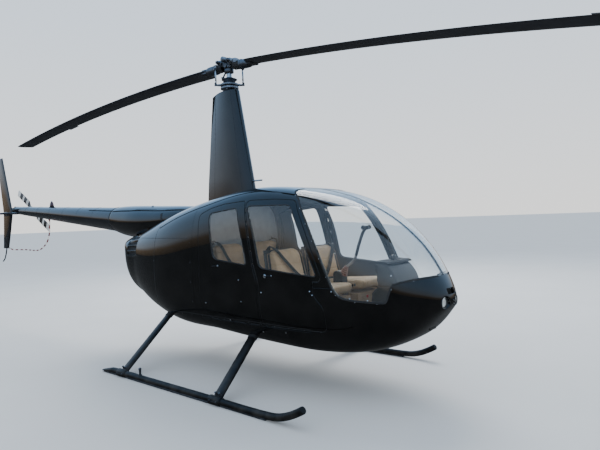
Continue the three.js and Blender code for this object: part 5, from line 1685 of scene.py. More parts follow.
guardPath = smoothPath(tail["guard"], 120)
guardLength = np.concatenate([[0], np.cumsum(np.linalg.norm(np.diff(guardPath, axis=0), axis=1))])
guardForm = tube(guardPath, tail["tube"], 18, upright=(0, 1, 0))
alongGuard = np.concatenate([guardLength[:1], guardLength, guardLength[-1:]]).repeat(18)
putMesh("tailGuard", *guardForm, stripedPaint, replaces="tail_guard", slot="striped_paint", along=alongGuard)
foot = lathe([[0, 0], [0.026, 0], [0.026, 0.004], [0.014, 0.016], [0, 0.018]], (-4.513, 0, 1.706), (0, 0, -1),
             28)
putMesh("guardFoot", *foot, boomBlack, slot=black)
tailSkidPath = smoothPath(tail["skid"], 40)
radius = np.concatenate([[0.0075, 0.0095], np.full(34, tail["tube"]), [0.0105, 0.0100, 0.0085, 0.0055]])
putMesh("tailSkid", *tube(tailSkidPath, radius, 18, upright=(0, 1, 0)), darkSteel, replaces="tail_skid",
        slot="dark_metal")
beaconBase = lathe([[0, 0.0], [0.042, 0.0], [0.042, 0.006], [0.034, 0.012], [0.031, 0.030], [0, 0.030]],
                   (-4.400, 0, 1.893), (0, 0, 1), 44)
ribs = np.linspace(0, 1, 25)
dome = np.stack([0.031 * (1 - 0.42 * ribs**1.6) + 0.0007 * np.sin(ribs * 60), 0.030 + 0.058 * ribs],
                -1).tolist()
beaconDome = lathe([[0, 0.030], *dome, [0.011, 0.090], [0, 0.091]], (-4.400, 0, 1.893), (0, 0, 1), 44)
beaconTip = lathe([[0, 0.090], [0.011, 0.090], [0.012, 0.097], [0.009, 0.106], [0, 0.108]],
                  (-4.400, 0, 1.893),
                  (0, 0, 1), 24)
putMesh("beaconBase", *beaconBase, satinBlack, slot="satin_black")
putMesh("beaconLens", *beaconDome, lensRed, replaces="beacon", slot="beacon_glass")
putMesh("beaconTip", *beaconTip, steel, slot="steel")


# Tail rotor, built upright about its own hub: blades run along X and it is turned to its rest place
def tailBladeForm(hand):
    out = np.concatenate([np.linspace(0.092, 0.215, 18), np.linspace(0.24, 0.716, 20), [0.727, 0.733, 0.737]])
    chord = np.interp(out, [0.090, 0.150, 0.200, 0.725, 0.733, 0.737],
                      [0.062, 0.072, 0.128, 0.128, 0.116, 0.090])
    thick = np.interp(out, [0.090, 0.150, 0.200, 0.725, 0.733, 0.737],
                      [0.044, 0.030, 0.018, 0.015, 0.010, 0.004])
    nosePoint = np.stack([hand * out, 0 * out, hand * chord * 0.25], -1)
    share = np.clip((out - 0.10) / 0.09, 0, 1)
    return skin(streamRings(nosePoint, (0, 0, hand), (0, 1, 0), chord, thick, 44,
                            1 - share**2 * (3 - 2 * share), radius=0.021))


# A form turned to the tail rotor's rest place and moved to its hub
def onTail(form):
    return shifted(turned(form, tail["restTurn"], "Y"), tail["hub"])


for name, hand in (("outer", -1), ("inner", 1)):
    putMesh(f"tailBlade_{name}", *onTail(tailBladeForm(hand)), bandedPaint, "tail_rotor",
            f"tail_rotor_blade_{name}", "striped_paint", sharp=50)
hubParts = [lathe([[0, -0.072], [0.020, -0.072], [0.024, -0.066], [0.024, 0.030], [0.019, 0.040], [0, 0.041]],
                  axis=(0, 1, 0), sides=40),
            slabForm(roundedOutline([[-0.086, -0.030, 0.015], [-0.086, 0.030, 0.015], [0.086, 0.030, 0.015],
                                     [0.086, -0.030, 0.015]]), -0.020, 0.020, axis=1, round=0.006)]
cuffs, pins = [], []
for hand in (1, -1):
    cuffs.append(lathe([[0, 0.080], [0.025, 0.080], [0.027, 0.084], [0.027, 0.118], [0.024, 0.124],
                        [0, 0.124]],
                       axis=(hand, 0, 0), sides=36))
    for sign in (1, -1):
        pins.append(nutForm((hand * 0.062, sign * 0.019, 0), (0, sign, 0), 0.011, 0.010))
        pins.append(nutForm((hand * 0.104, sign * 0.024, 0), (0, sign, 0), 0.008, 0.007))
    pins.append(tube(np.linspace((hand * 0.100, -0.044, hand * 0.040), (hand * 0.030, -0.056, hand * 0.018),
                                 5), 0.005,
                     12))
    pins.append(brick((hand * 0.104 - 0.010, -0.050, hand * 0.030 - 0.012),
                      (hand * 0.104 + 0.010, -0.018, hand * 0.030 + 0.012), 0.004))
spider = lathe([[0, -0.064], [0.036, -0.064], [0.038, -0.060], [0.038, -0.050], [0.030, -0.044], [0, -0.044]],
               axis=(0, 1, 0), sides=40)
putMesh("tailHub", *onTail(joinForms(*hubParts, spider)), castAlloy, "tail_rotor", "tail_rotor_hub",
        "dark_metal")
putMesh("tailHubFittings", *onTail(joinForms(*cuffs, *pins)), darkSteel, "tail_rotor", slot="dark_metal")
print("landing gear and tail made")


# Seats: cushions swollen by cloth simulation, on boxed bases

seats = {
    "inner": 0.060, "outer": 0.486, "gap": 0.008, "shrink": 0.011, "voxel": 0.008, "swell": 0.011,
    "pressure": 4.0, "steps": 20, "channel": 0.0045, "channelWide": 0.006,
    "cornerRound": {"cushion": 0.06, "back": 0.11},
    "front": {
        "base": ((1.050, 0.6143, 0.004), (1.560, 0.6143, 0.004), (1.560, 0.838, 0.012),
                 (1.050, 0.838, 0.004)),
        "panel": ((0.958, 0.6143, 0.002), (0.982, 0.6143, 0.002), (0.905, 1.268, 0.008),
                  (0.887, 1.268, 0.008)),
        "cushion": ((1.062, 0.846, 0.03), (1.620, 0.868, 0.045), (1.636, 0.968, 0.045), (1.066, 0.936, 0.03)),
        "back": ((0.956, 0.930, 0.02), (1.094, 0.925, 0.03), (1.003, 1.282, 0.06), (0.912, 1.288, 0.04)),
    },
    "rear": {
        "base": ((0.096, 0.6143, 0.004), (0.790, 0.6143, 0.004), (0.790, 0.838, 0.012),
                 (0.096, 0.838, 0.004)),
        "panel": None,
        "cushion": ((0.232, 0.846, 0.03), (0.806, 0.866, 0.045), (0.818, 0.955, 0.045), (0.236, 0.936, 0.03)),
        "back": ((0.132, 0.930, 0.02), (0.262, 0.925, 0.03), (0.222, 1.332, 0.06), (0.120, 1.338, 0.04)),
    },
}


# Far corners of a pad drawn in: a back narrows to its top and a cushion to its front
def roundCorners(points, kind, outline):
    axis = 0 if kind == "cushion" else 2
    places = np.asarray(outline)[:, 0 if kind == "cushion" else 1]
    low, high = places.min(), places.max()
    reach = seats["cornerRound"][kind]
    side = np.minimum(points[:, 1] - seats["inner"], seats["outer"] - points[:, 1])
    near = np.clip(1 - side / reach, 0, 1)
    drop = reach * (1 - np.sqrt(np.clip(1 - near**2, 0, 1)))
    share = np.clip((points[:, axis] - low) / (high - low), 0, 1)
    moved = points.copy()
    moved[:, axis] -= drop * share**3
    return moved


# Outline moved inwards by a distance along its own edge normals
def shrunk(outline, by):
    ahead = np.roll(outline, -1, 0) - np.roll(outline, 1, 0)
    inward = np.stack([-ahead[:, 1], ahead[:, 0]], -1)
    inward /= np.maximum(np.linalg.norm(inward, axis=1, keepdims=True), 1e-9)
    return outline + inward * by


# A swollen pad: the block is remeshed, blown up as cloth, capped and smoothed
def padMesh(name, kind, corners):
    outline = roundedOutline(corners)
    low, high = (
        seats["inner"] + seats["gap"] + seats["shrink"], seats["outer"] - seats["gap"] - seats["shrink"])
    points, faces = slabForm(shrunk(outline, seats["shrink"]), low, high, round=0.022, steps=6)
    mesh = bpy.data.meshes.new(name)
    mesh.from_pydata(points.tolist(), [], np.asarray(faces).tolist())
    pad = bpy.data.objects.new(name, mesh)
    bpy.context.scene.collection.objects.link(pad)
    remesh = pad.modifiers.new("remesh", "REMESH")
    remesh.mode, remesh.voxel_size = "VOXEL", seats["voxel"] * 1
    applyModifiers(pad)
    start = roundCorners(pointsOf(pad.data), kind, corners)
    pad.data.vertices.foreach_set("co", start.astype(np.float32).ravel())
    pad.data.update()
    cloth = pad.modifiers.new("swell", "CLOTH")
    cloth.settings.quality = 4
    cloth.settings.use_pressure = True
    cloth.settings.uniform_pressure_force = seats["pressure"]
    cloth.settings.effector_weights.gravity = 0
    cloth.point_cache.frame_start, cloth.point_cache.frame_end = 1, seats["steps"]
    for step in range(1, seats["steps"] + 1):
        bpy.context.scene.frame_set(step)
    applyModifiers(pad)
    bpy.context.scene.frame_set(1)
    moved = pointsOf(pad.data) - start
    length = np.maximum(np.linalg.norm(moved, axis=1, keepdims=True), 1e-9)
    swollen = start + moved * np.minimum(1, seats["swell"] / length)
    pad.data.vertices.foreach_set("co", swollen.astype(np.float32).ravel())
    pad.data.update()
    smooth = pad.modifiers.new("smooth", "SUBSURF")
    smooth.levels = smooth.render_levels = 1
    applyModifiers(pad)
    found = pad.data
    points = pointsOf(found)
    quads = np.empty(len(found.loops), np.int64)
    found.loops.foreach_get("vertex_index", quads)
    normals = np.empty(len(found.vertices) * 3, np.float32)
    found.vertices.foreach_get("normal", normals)
    bpy.data.objects.remove(pad)
    return points, quads.reshape(-1, 4), normals.reshape(-1, 3)


# A mesh's points as an array
def pointsOf(mesh):
    found = np.empty(len(mesh.vertices) * 3, np.float32)
    mesh.vertices.foreach_get("co", found)
    return found.reshape(-1, 3).astype(float)


# An object's modifiers become part of its mesh
def applyModifiers(made):
    graph = bpy.context.evaluated_depsgraph_get()
    graph.update()
    applied = bpy.data.meshes.new_from_object(made.evaluated_get(graph))
    made.modifiers.clear()
    made.data = applied


# Sewn channels: the cover is drawn in along lines across and along the pad's face
def sewn(points, normals, lines):
    drawn = np.zeros(len(points))
    for axis, places, reach in lines:
        for place in places:
            away = np.abs(points[:, axis] - place) / seats["channelWide"]
            drawn = np.maximum(drawn, np.exp(-away**2) * reach(points))
    return points - normals * (drawn * seats["channel"])[:, None]


# A flat strap along a smooth path, thin along the way that it faces
def beltForm(path, wide, face, thick=0.0011):
    path = smoothPath(path, 60)
    return sealForm(path, np.tile(np.asarray(face, float) / np.linalg.norm(face), (len(path), 1)), wide,
                    thick, 12,
                    closed=False)


beltWeave = carpetFinish("beltWebbing", (0.016, 0.015, 0.015))
tanTrim = leatherFinish("tanVinyl", (0.44, 0.27, 0.145))
redTag = plasticFinish("redPaint", (0.45, 0.02, 0.015), 0.4)
paleTrim = plasticFinish("headliner", (0.30, 0.30, 0.31), 0.85, fine=1500.0, bump=0.5)
for row in ("front", "rear"):
    shape = seats[row]
    baseForm = slabForm(roundedOutline(shape["base"]), seats["inner"], seats["outer"], round=0.006)
    cushion, cushionFaces, cushionNormals = padMesh(row + "CushionPad", "cushion", shape["cushion"])
    back, backFaces, backNormals = padMesh(row + "BackPad", "back", shape["back"])
    top = lambda found: np.clip((found[:, 2] - 0.915) / 0.02, 0, 1)
    ahead = lambda found: np.clip((found[:, 2] - 0.90) / 0.03, 0, 1)
    rearX = shape["cushion"][0][0]
    cushion = sewn(cushion, cushionNormals, [
        (1, (seats["inner"] + 0.085, seats["outer"] - 0.085), top),
        (0, (rearX + 0.15, rearX + 0.30, rearX + 0.45), top)])
    back = sewn(back, backNormals, [(1, (seats["inner"] + 0.085, seats["outer"] - 0.085), ahead),
                                    (2, (1.03, 1.13, 1.23), ahead)])
    for side, flip in fromLeft:
        padding = {"Cushion": (cushion, cushionFaces), "Back": (back, backFaces)}
        for part, form in padding.items():
            replaced = f"seat_{row}_{side}" if part == "Cushion" else ()
            made = putMesh(f"seat{part}_{row}_{side}", *flip(form), beigeLeather, replaces=replaced,
                           slot="beige_leather", weld=False, sharp=70)
        welts = []
        for key in ("cushion", "back"):
            edgeLine = roundedOutline(shape[key])
            for place in (seats["inner"] + seats["gap"] + 0.012, seats["outer"] - seats["gap"] - 0.012):
                ring = shrunk(edgeLine, 0.006)
                path = np.stack([ring[:, 0], np.full(len(ring), place), ring[:, 1]], -1)
                path = roundCorners(path, key, shape[key])
                turnOut = np.stack([ring[:, 0] - ring[:, 0].mean(), 0 * ring[:, 0],
                                    ring[:, 1] - ring[:, 1].mean()],
                                   -1)
                turnOut /= np.linalg.norm(turnOut, axis=1, keepdims=True)
                welts.append(sealForm(path, turnOut, 0.0028, 0.0028, 8))
        putMesh(f"seatWelts_{row}_{side}", *flip(joinForms(*welts)), tanTrim)
        putMesh(f"seatBase_{row}_{side}", *flip(baseForm), tanTrim, slot="beige_leather")
        frontX = shape["base"][1][0]
        lid = slabForm(roundedOutline([[seats["inner"] + 0.03, 0.65, 0.02],
                                       [seats["outer"] - 0.03, 0.65, 0.02],
                                       [seats["outer"] - 0.03, 0.81, 0.02],
                                       [seats["inner"] + 0.03, 0.81, 0.02]]),
                       frontX - 0.002, frontX + 0.004, axis=0, round=0.002)
        putMesh(f"seatLid_{row}_{side}", *flip(lid), tanTrim)
        if shape["panel"]:
            panel = slabForm(roundedOutline(shape["panel"]), seats["inner"], seats["outer"], round=0.005)
            putMesh(f"seatPanel_{row}_{side}", *flip(panel), cabinTrim, slot=trim)
        rearTop = shape["back"][3]
        backX = shape["back"][2][0]
        shoulder = [(rearTop[0] - 0.022, 0.44, rearTop[1] - 0.03),
                    (rearTop[0] + 0.03, 0.435, rearTop[1] + 0.006),
                    (backX + 0.010, 0.425, rearTop[1] - 0.03), (backX + 0.045, 0.36, 1.17),
                    (shape["back"][1][0] + 0.010, 0.20, 1.00), (shape["back"][1][0] + 0.030, 0.095, 0.955)]
        lap = [(shape["back"][1][0] + 0.040, 0.085, 0.958), (shape["back"][1][0] + 0.12, 0.20, 0.958),
               (shape["back"][1][0] + 0.10, 0.38, 0.960), (shape["back"][1][0] + 0.03, 0.470, 0.945)]
        belts = joinForms(beltForm(shoulder, 0.021, (0.9, 0, 0.45)), beltForm(lap, 0.021, (0.1, 0, 1)))
        putMesh(f"belts_{row}_{side}", *flip(belts), beltWeave)
        bx = shape["back"][1][0] + 0.038
        buckle = joinForms(brick((bx - 0.028, 0.068, 0.952), (bx + 0.026, 0.104, 0.972), 0.006),
                           tube(np.linspace((bx - 0.02, 0.080, 0.955), (bx - 0.05, 0.066, 0.88), 5), 0.006,
                                10))
        putMesh(f"buckle_{row}_{side}", *flip(buckle), steel, slot="steel")
        pushBit = brick((bx - 0.016, 0.076, 0.9705), (bx + 0.004, 0.096, 0.9745), 0.0015)
        putMesh(f"buckleKey_{row}_{side}", *flip(pushBit), redTag)
print("seats and belts made")


# Cabin floor, rear wall, console, controls and pedals

cabin = {
    "floorRear": 0.090, "floorFront": 2.330, "floorLow": 0.597, "floorTop": 0.6135, "clear": 0.040,
    "wall": (0.063, 0.081), "pedalX": 2.150,
}


# Half the pod's width at x and z
def cabinHalf(x, z):
    places = np.stack([x, np.broadcast_to(z, np.shape(x))], -1)
    return -podSide(places)[0][:, 1]


floorX = np.concatenate([np.linspace(cabin["floorRear"], 2.25, 60),
                         np.linspace(2.26, cabin["floorFront"], 10)])
half = np.maximum(cabinHalf(floorX, cabin["floorLow"]) - cabin["clear"], 0.05)
outline = np.concatenate([np.stack([floorX, -half], -1), np.stack([floorX, half], -1)[::-1]])
putMesh("cabinFloor", *slabForm(outline, cabin["floorLow"], cabin["floorTop"], axis=2, round=0.003), carpet,
        replaces="cabin_floor", slot=trim)
wallX = sum(cabin["wall"]) / 2
turn = np.linspace(0, 1, 60)
wallPlaces = np.stack([np.full(60, math.sqrt(pod["sections"][0, 0] - wallX)), turn], -1)
ring = podAt(wallPlaces)
ring = (ring[0] - ring[1] * cabin["clear"])[:, 1:]
ring = ring[np.argsort(wallPlaces[:, 1])]
ring = np.concatenate([ring[1:-1], (ring * (-1, 1))[1:-1][::-1]])
putMesh("rearWall", *slabForm(ring, *cabin["wall"], axis=0, round=0.003), paleTrim, replaces="firewall",
        slot=trim)

consoleForms = [slabForm(roundedOutline([[1.790, 0.6143, 0.004], [2.285, 0.6143, 0.02], [2.250, 0.860, 0.05],
                                         [2.140, 0.955, 0.06], [1.900, 0.955, 0.03], [1.815, 0.890, 0.07]]),
                         -0.115, 0.115, round=0.018),
                slabForm(roundedOutline([[1.932, 0.952, 0.01], [2.130, 0.952, 0.03], [2.100, 1.050, 0.05],
                                         [2.020, 1.150, 0.06], [1.907, 1.158, 0.02]]), -0.203, 0.203,
                         round=0.022)]
putMesh("instrumentConsole", *joinForms(*consoleForms), darkPlastic, replaces="instrument_console",
        slot="satin_black")
hood = slabForm(roundedOutline([[1.885, 1.150, 0.008], [1.905, 1.168, 0.008], [2.030, 1.162, 0.03],
                                [2.050, 1.140, 0.02], [1.905, 1.150, 0.004]]), -0.207, 0.207, round=0.004)
putMesh("consoleHood", *hood, blackRubber)
dials, faces, needles = [], [], []
for rank, z in enumerate((1.105, 1.010)):
    for y in (-0.145, -0.048, 0.048, 0.145):
        x = np.interp(z, [0.95, 1.16], [1.931, 1.906])
        radius = 0.040 if rank == 0 else 0.034
        dials.append(lathe([[radius - 0.004, -0.004], [radius + 0.004, -0.004], [radius + 0.003, 0.006],
                            [radius - 0.003, 0.007], [radius - 0.004, -0.004]], (x, y, z), (-1, 0, 0), 40))
        faces.append(lathe([[0, -0.002], [radius - 0.004, -0.002], [radius - 0.004, 0.003], [0, 0.003]],
                           (x, y, z),
                           (-1, 0, 0), 40))
        angle = 0.7 + 1.9 * y + rank
        tip = (x - 0.0045, y + (radius - 0.010) * math.cos(angle), z + (radius - 0.010) * math.sin(angle))
        needles.append(tube(np.linspace((x - 0.0045, y, z), tip, 4), 0.0012, 8))
        ticks = np.arange(12) * np.pi / 6
        places = np.stack([np.full(12, x - 0.0028), y + (radius - 0.009) * np.cos(ticks),
                           z + (radius - 0.009) * np.sin(ticks)], -1)
        needles.append(headsOn(places, np.tile([-1.0, 0, 0], (12, 1)), 0.0014, 0.0008, 6))
putMesh("dialRims", *joinForms(*dials), satinBlack, slot="satin_black")
putMesh("dialFaces", *joinForms(*faces), blackRubber)
putMesh("dialMarks", *joinForms(*needles), plasticFinish("dialMarks", (0.75, 0.75, 0.72), 0.5))
radios, knobs = [], []
for k, z in enumerate((0.700, 0.755, 0.810, 0.865)):
    x = np.interp(z, [0.6143, 0.890], [1.791, 1.813])
    radios.append(brick((x - 0.004, -0.082, z - 0.021), (x + 0.02, 0.082, z + 0.021), 0.003))
    for y in (-0.068, 0.068):
        knobs.append(lathe([[0, 0], [0.009, 0], [0.0085, 0.012], [0.007, 0.014], [0, 0.014]],
                           (x - 0.003, y, z),
                           (-1, 0, 0), 20))
    places = np.stack([np.full(5, x - 0.0045), np.linspace(-0.04, 0.04, 5), np.full(5, z - 0.010)], -1)
    knobs.append(headsOn(places, np.tile([-1.0, 0, 0], (5, 1)), 0.004, 0.004, 12))
    screen = brick((x - 0.0055, -0.045, z + 0.000), (x - 0.001, 0.045, z + 0.014), 0.001)
    knobs.append(screen)
putMesh("radios", *joinForms(*radios), darkPlastic)
putMesh("radioKnobs", *joinForms(*knobs), satinBlack)
compass = joinForms(lathe([[0, 0], [0.026, 0], [0.030, 0.006], [0.030, 0.030], [0.022, 0.040], [0, 0.042]],
                          (2.000, 0, 1.178), (-1, 0, 0), 32),
                    brick((1.955, -0.012, 1.150), (1.995, 0.012, 1.185), 0.004))
putMesh("compass", *compass, darkPlastic)

stickPath = smoothPath([(1.425, 0, 1.000), (1.470, 0, 1.075), (1.574, 0, 1.160), (1.625, 0, 1.285),
                        (1.677, 0, 1.405), (1.712, 0, 1.450)], 70)
housing = slabForm(roundedOutline([[1.345, 0.6143, 0.01], [1.470, 0.6143, 0.01], [1.462, 1.045, 0.05],
                                   [1.350, 1.056, 0.05]]), -0.042, 0.042, round=0.012)
putMesh("stickHousing", *housing, darkPlastic, replaces="cyclic_stick", slot="satin_black")
lowPart = stickPath[:34]
putMesh("stickTube", *tube(lowPart, 0.0125, 24, upright=(0, 1, 0)), steel, slot="steel")
putMesh("stickUpper", *tube(stickPath[33:], 0.0138, 24, upright=(0, 1, 0)), darkPlastic)
folds = np.linspace(0, 1, 61)
gaiterProfile = np.stack([0.040 - 0.024 * folds + 0.0035 * np.sin(folds * np.pi * 10), 0.088 * folds],
                         -1).tolist()
gaiter = lathe([[0, 0.0], *gaiterProfile, [0, 0.088]], (1.440, 0, 1.020), (0.55, 0, 0.84), 44)
putMesh("stickGaiter", *gaiter, leatherFinish("gaiterLeather", (0.20, 0.06, 0.035)))
grip = joinForms(lathe([[0, -0.066], [0.012, -0.065], [0.018, -0.058], [0.0165, -0.030], [0.0145, -0.012],
                        [0.016, 0.0], [0.0145, 0.012], [0.0165, 0.030], [0.018, 0.058], [0.012, 0.065],
                        [0, 0.066]], (1.712, 0, 1.450), (0, 1, 0), 36),
                 brick((1.690, -0.010, 1.430), (1.734, 0.010, 1.466), 0.006),
                 *[lathe([[0, 0], [0.005, 0], [0.0045, 0.006], [0, 0.007]], (1.712, y, 1.466), (0, 0, 1), 12)
                   for y in (-0.05, 0.05)])
putMesh("stickGrip", *grip, blackRubber)
collective, handles = [], []
for y in (0.012, 0.520):
    path = smoothPath([(1.120, y, 0.640), (1.180, y, 0.760), (1.330, y, 0.850), (1.560, y, 0.925)], 40)
    collective.append(tube(path, 0.0125, 20, upright=(0, 1, 0)))
    handles.append(lathe([[0, -0.01], [0.015, -0.01], [0.018, 0.0], [0.0165, 0.060], [0.018, 0.125],
                          [0.014, 0.132],
                          [0, 0.133]], tuple(path[28]), tuple(path[-1] - path[28]), 28))
    handles.append(brick((1.062, y - 0.018, 0.6143), (1.150, y + 0.018, 0.650), 0.008))
putMesh("collectives", *joinForms(*collective), satinBlack)
putMesh("collectiveGrips", *joinForms(*handles), blackRubber)
pedals, pads = [], []
for sign in (1, -1):
    for y in (0.165, 0.275):
        x = cabin["pedalX"] - (0.02 if y > 0.2 else 0.0)
        pedals.append(tube(smoothPath([(x - 0.02, sign * y, 0.6143), (x, sign * y, 0.67),
                                       (x + 0.012, sign * y, 0.745)],
                                      20), 0.008, 16, upright=(0, 1, 0)))
        pads.append(turned(brick((x - 0.006, sign * y - 0.040, 0.725), (x + 0.006, sign * y + 0.040, 0.795),
                                 0.005),
                           -22, "Y", (x, sign * y, 0.75)))
    pedals.append(tube(np.linspace((cabin["pedalX"] - 0.02, sign * 0.13, 0.632),
                                   (cabin["pedalX"] - 0.02, sign * 0.31,
                                    0.632), 6), 0.009, 16))
putMesh("pedals", *joinForms(*pedals), satinBlack)
putMesh("pedalPads", *joinForms(*pads), blackRubber)
tag = brick((1.846, -0.240, 0.862), (1.852, -0.218, 0.884), 0.001)
putMesh("safetyTag", *tag, redTag)
print("cabin made")


# Landing lights, nose vent and engine; the belly outlet is the hole cut in the engine cowl

lampDark = plasticFinish("lampHousing", (0.010, 0.010, 0.011), 0.5)
reflector = plasticFinish("lampReflector", (0.86, 0.86, 0.84), 0.25, bump=0.05, patch=0.02)
lampGlass = glassFinish("lampGlass", (0.97, 0.98, 0.98))
bowls, rings, lenses, bulbs = [], [], [], []
for sign in (-1, 1):
    y = sign * nose["lampAcross"]
    face = float(pod["sections"][0, 0]) - 0.060
    bowls.append(lathe([[0, -0.042], [0.020, -0.040], [0.036, -0.026], [0.044, -0.006], [0.046, 0.0],
                        [0.048, 0.0],
                        [0.046, -0.008], [0.038, -0.029], [0.021, -0.044], [0, -0.046]],
                       (face + 0.018, y, nose["lampHeight"]), (1, 0, 0), 48))
    rings.append(lathe([[0.0455, -0.008], [0.0500, -0.008], [0.0505, 0.006], [0.0480, 0.010], [0.0455, 0.008],
                        [0.0455, -0.008]], (face + 0.018, y, nose["lampHeight"]), (1, 0, 0), 48))
    lenses.append(lathe([[0, 0.012], [0.020, 0.0105], [0.036, 0.006], [0.0465, 0.001], [0.0465, -0.003],
                         [0.036, 0.002], [0.020, 0.0065], [0, 0.008]][::-1],
                        (face + 0.018, y, nose["lampHeight"]), (1, 0, 0), 48))
    bulbs.append(lathe([[0, 0], [0.008, 0.002], [0.010, 0.012], [0.007, 0.020], [0, 0.022]],
                       (face - 0.024, y, nose["lampHeight"]), (1, 0, 0), 20))
putMesh("lampReflectors", *joinForms(*bowls), reflector, replaces="landing_lights", slot="lamp_glass")
putMesh("lampRings", *joinForms(*rings), lampDark)
putMesh("lampLenses", *joinForms(*lenses), lampGlass, slot="lamp_glass")
putMesh("lampBulbs", *joinForms(*bulbs), paleTrim)
backX = 2.384
meshBars = [tube(np.linspace((backX + 0.040, y, nose["ventLow"] - 0.004),
                             (backX + 0.040, y, nose["ventHigh"] + 0.004),
                             3), 0.0012, 6, upright=(0, 1, 0)) for y in np.linspace(-0.056, 0.056, 15)]
meshBars += [tube(np.linspace((backX + 0.0405, -0.060, z), (backX + 0.0405, 0.060, z), 3), 0.0012, 6)
             for z in np.linspace(nose["ventLow"] + 0.004, nose["ventHigh"] - 0.004, 6)]
meshBars.append(brick((backX + 0.010, -0.070, nose["ventLow"] - 0.010),
                      (backX + 0.020, 0.070, nose["ventHigh"] + 0.008),
                      0.002))
putMesh("noseVent", *joinForms(*meshBars), darkPlastic)

engineForms = [brick((-0.80, -0.130, 0.66), (-0.22, 0.130, 0.96), 0.04),
               brick((-0.72, -0.10, 0.625), (-0.30, 0.10, 0.70),
                     0.02),
               brick((-0.87, -0.10, 0.74), (-0.79, 0.10, 0.92), 0.02)]
fins, covers, pipes = [], [], []
for sign in (1, -1):
    for x in (-0.66, -0.50, -0.34):
        fins.append(lathe([[0, 0.11]] + [[0.062 if k % 2 else 0.074,
                                          0.11 + 0.0045 * k + (0.002 if k % 2 else 0)]
                                        for k in range(24)] + [[0, 0.222]], (x, 0, 0.80), (0, sign, 0), 36))
        covers.append(brick((x - 0.068, 0.222 if sign > 0 else -0.292, 0.735),
                            (x + 0.068, 0.292 if sign > 0 else -0.222,
                           0.865), 0.02))
        pipes.append(tube(smoothPath([(x, sign * 0.20, 0.735), (x - 0.02, sign * 0.20, 0.67),
                                      (x - 0.10, sign * 0.17,
                                    0.645)], 16), 0.017, 16))
        pipes.append(tube(smoothPath([(x, sign * 0.19, 0.86), (x, sign * 0.15, 0.95),
                                      (x + 0.02, sign * 0.06, 1.00)], 16),
                          0.014, 16))
    pipes.append(tube(np.linspace((-0.82, sign * 0.17, 0.645), (-0.30, sign * 0.17, 0.645), 6), 0.022, 20))
fan = lathe([[0, 0], [0.10, 0.0], [0.16, 0.02], [0.20, 0.06], [0.20, 0.09], [0.12, 0.085], [0, 0.08]],
            (-0.30, 0, 0.86), (1, 0, 0), 48)
putMesh("engineCore", *joinForms(*engineForms, fan), castAlloy, replaces="engine_block", slot="dark_metal")
putMesh("engineCylinders", *joinForms(*fins), darkSteel, slot="dark_metal")
putMesh("engineCovers", *joinForms(*covers), castAlloy, slot="dark_metal")
putMesh("enginePipes", *joinForms(*pipes), metalFinish("burntSteel", (0.24, 0.18, 0.14), 0.5),
        slot="dark_metal")
print("lights and engine made")


# Fittings on the outside: latches, hinges, screws and seams

# Places on the starboard surface as x and z; a row is its height, rear x, front x and count
fittings = {
    "screws": ((1.742, 0.950), (1.897, 0.899), (2.034, 0.887), (2.191, 1.078)),
    "cowlHeights": (0.75, 0.95, 1.15, 1.35), "cowlColumns": (0.005, -0.66),
    "upperScrews": (1.395, -0.60, -0.05, 7),
    "lowerScrews": (0.60, -0.60, 1.60, 14),      # lies on the doors' lower edges, and stays when they open
    "rearSeam": (-0.655, 0.64, 1.60, 40),        # x, low, high and count
    "upperSeam": (1.395, -1.12, -0.02, 50),
    "lowerSeam": (0.615, -0.62, 1.50, 90),       # lies on the door skins, and stays when they open
    "latches": ((1.044, 1.051), (0.426, 1.127)),
    "levers": (((1.044, 1.051), (1.122, 1.058)), ((0.426, 1.127), (0.350, 1.121))),
    "frontLock": ((1.122, 1.058),), "frontDoor": ((0.989, 0.902),),
    "rearDoor": ((0.215, 0.751), (0.700, 1.00), (0.72, 0.80)),
    "belly": ((0.899, 0.520), (0.506, 0.600), (1.204, 0.550)),      # the second lies on the rear door
    "hinge": ((1.539, 0.943), (1.562, 0.913)),                      # close over the front door
}


# Places of a level row
def levelRow(height, rear, front, count):
    return [(x, height) for x in np.linspace(rear, front, count)]


# Domed heads at places (x, z) of the pod's starboard skin
def onPod(places, radius, height, sides=14):
    points, outward = podSide(np.asarray(places, float))
    return headsOn(points, outward, radius, height, sides)


# Screw heads at even steps along an outline
def screwRow(shape, grow, spacing, keep=None):
    path, outward = outlinePath(shape, grow, 0.0, spacing, keep)
    return headsOn(path, outward, 0.0036, 0.0016, 10)


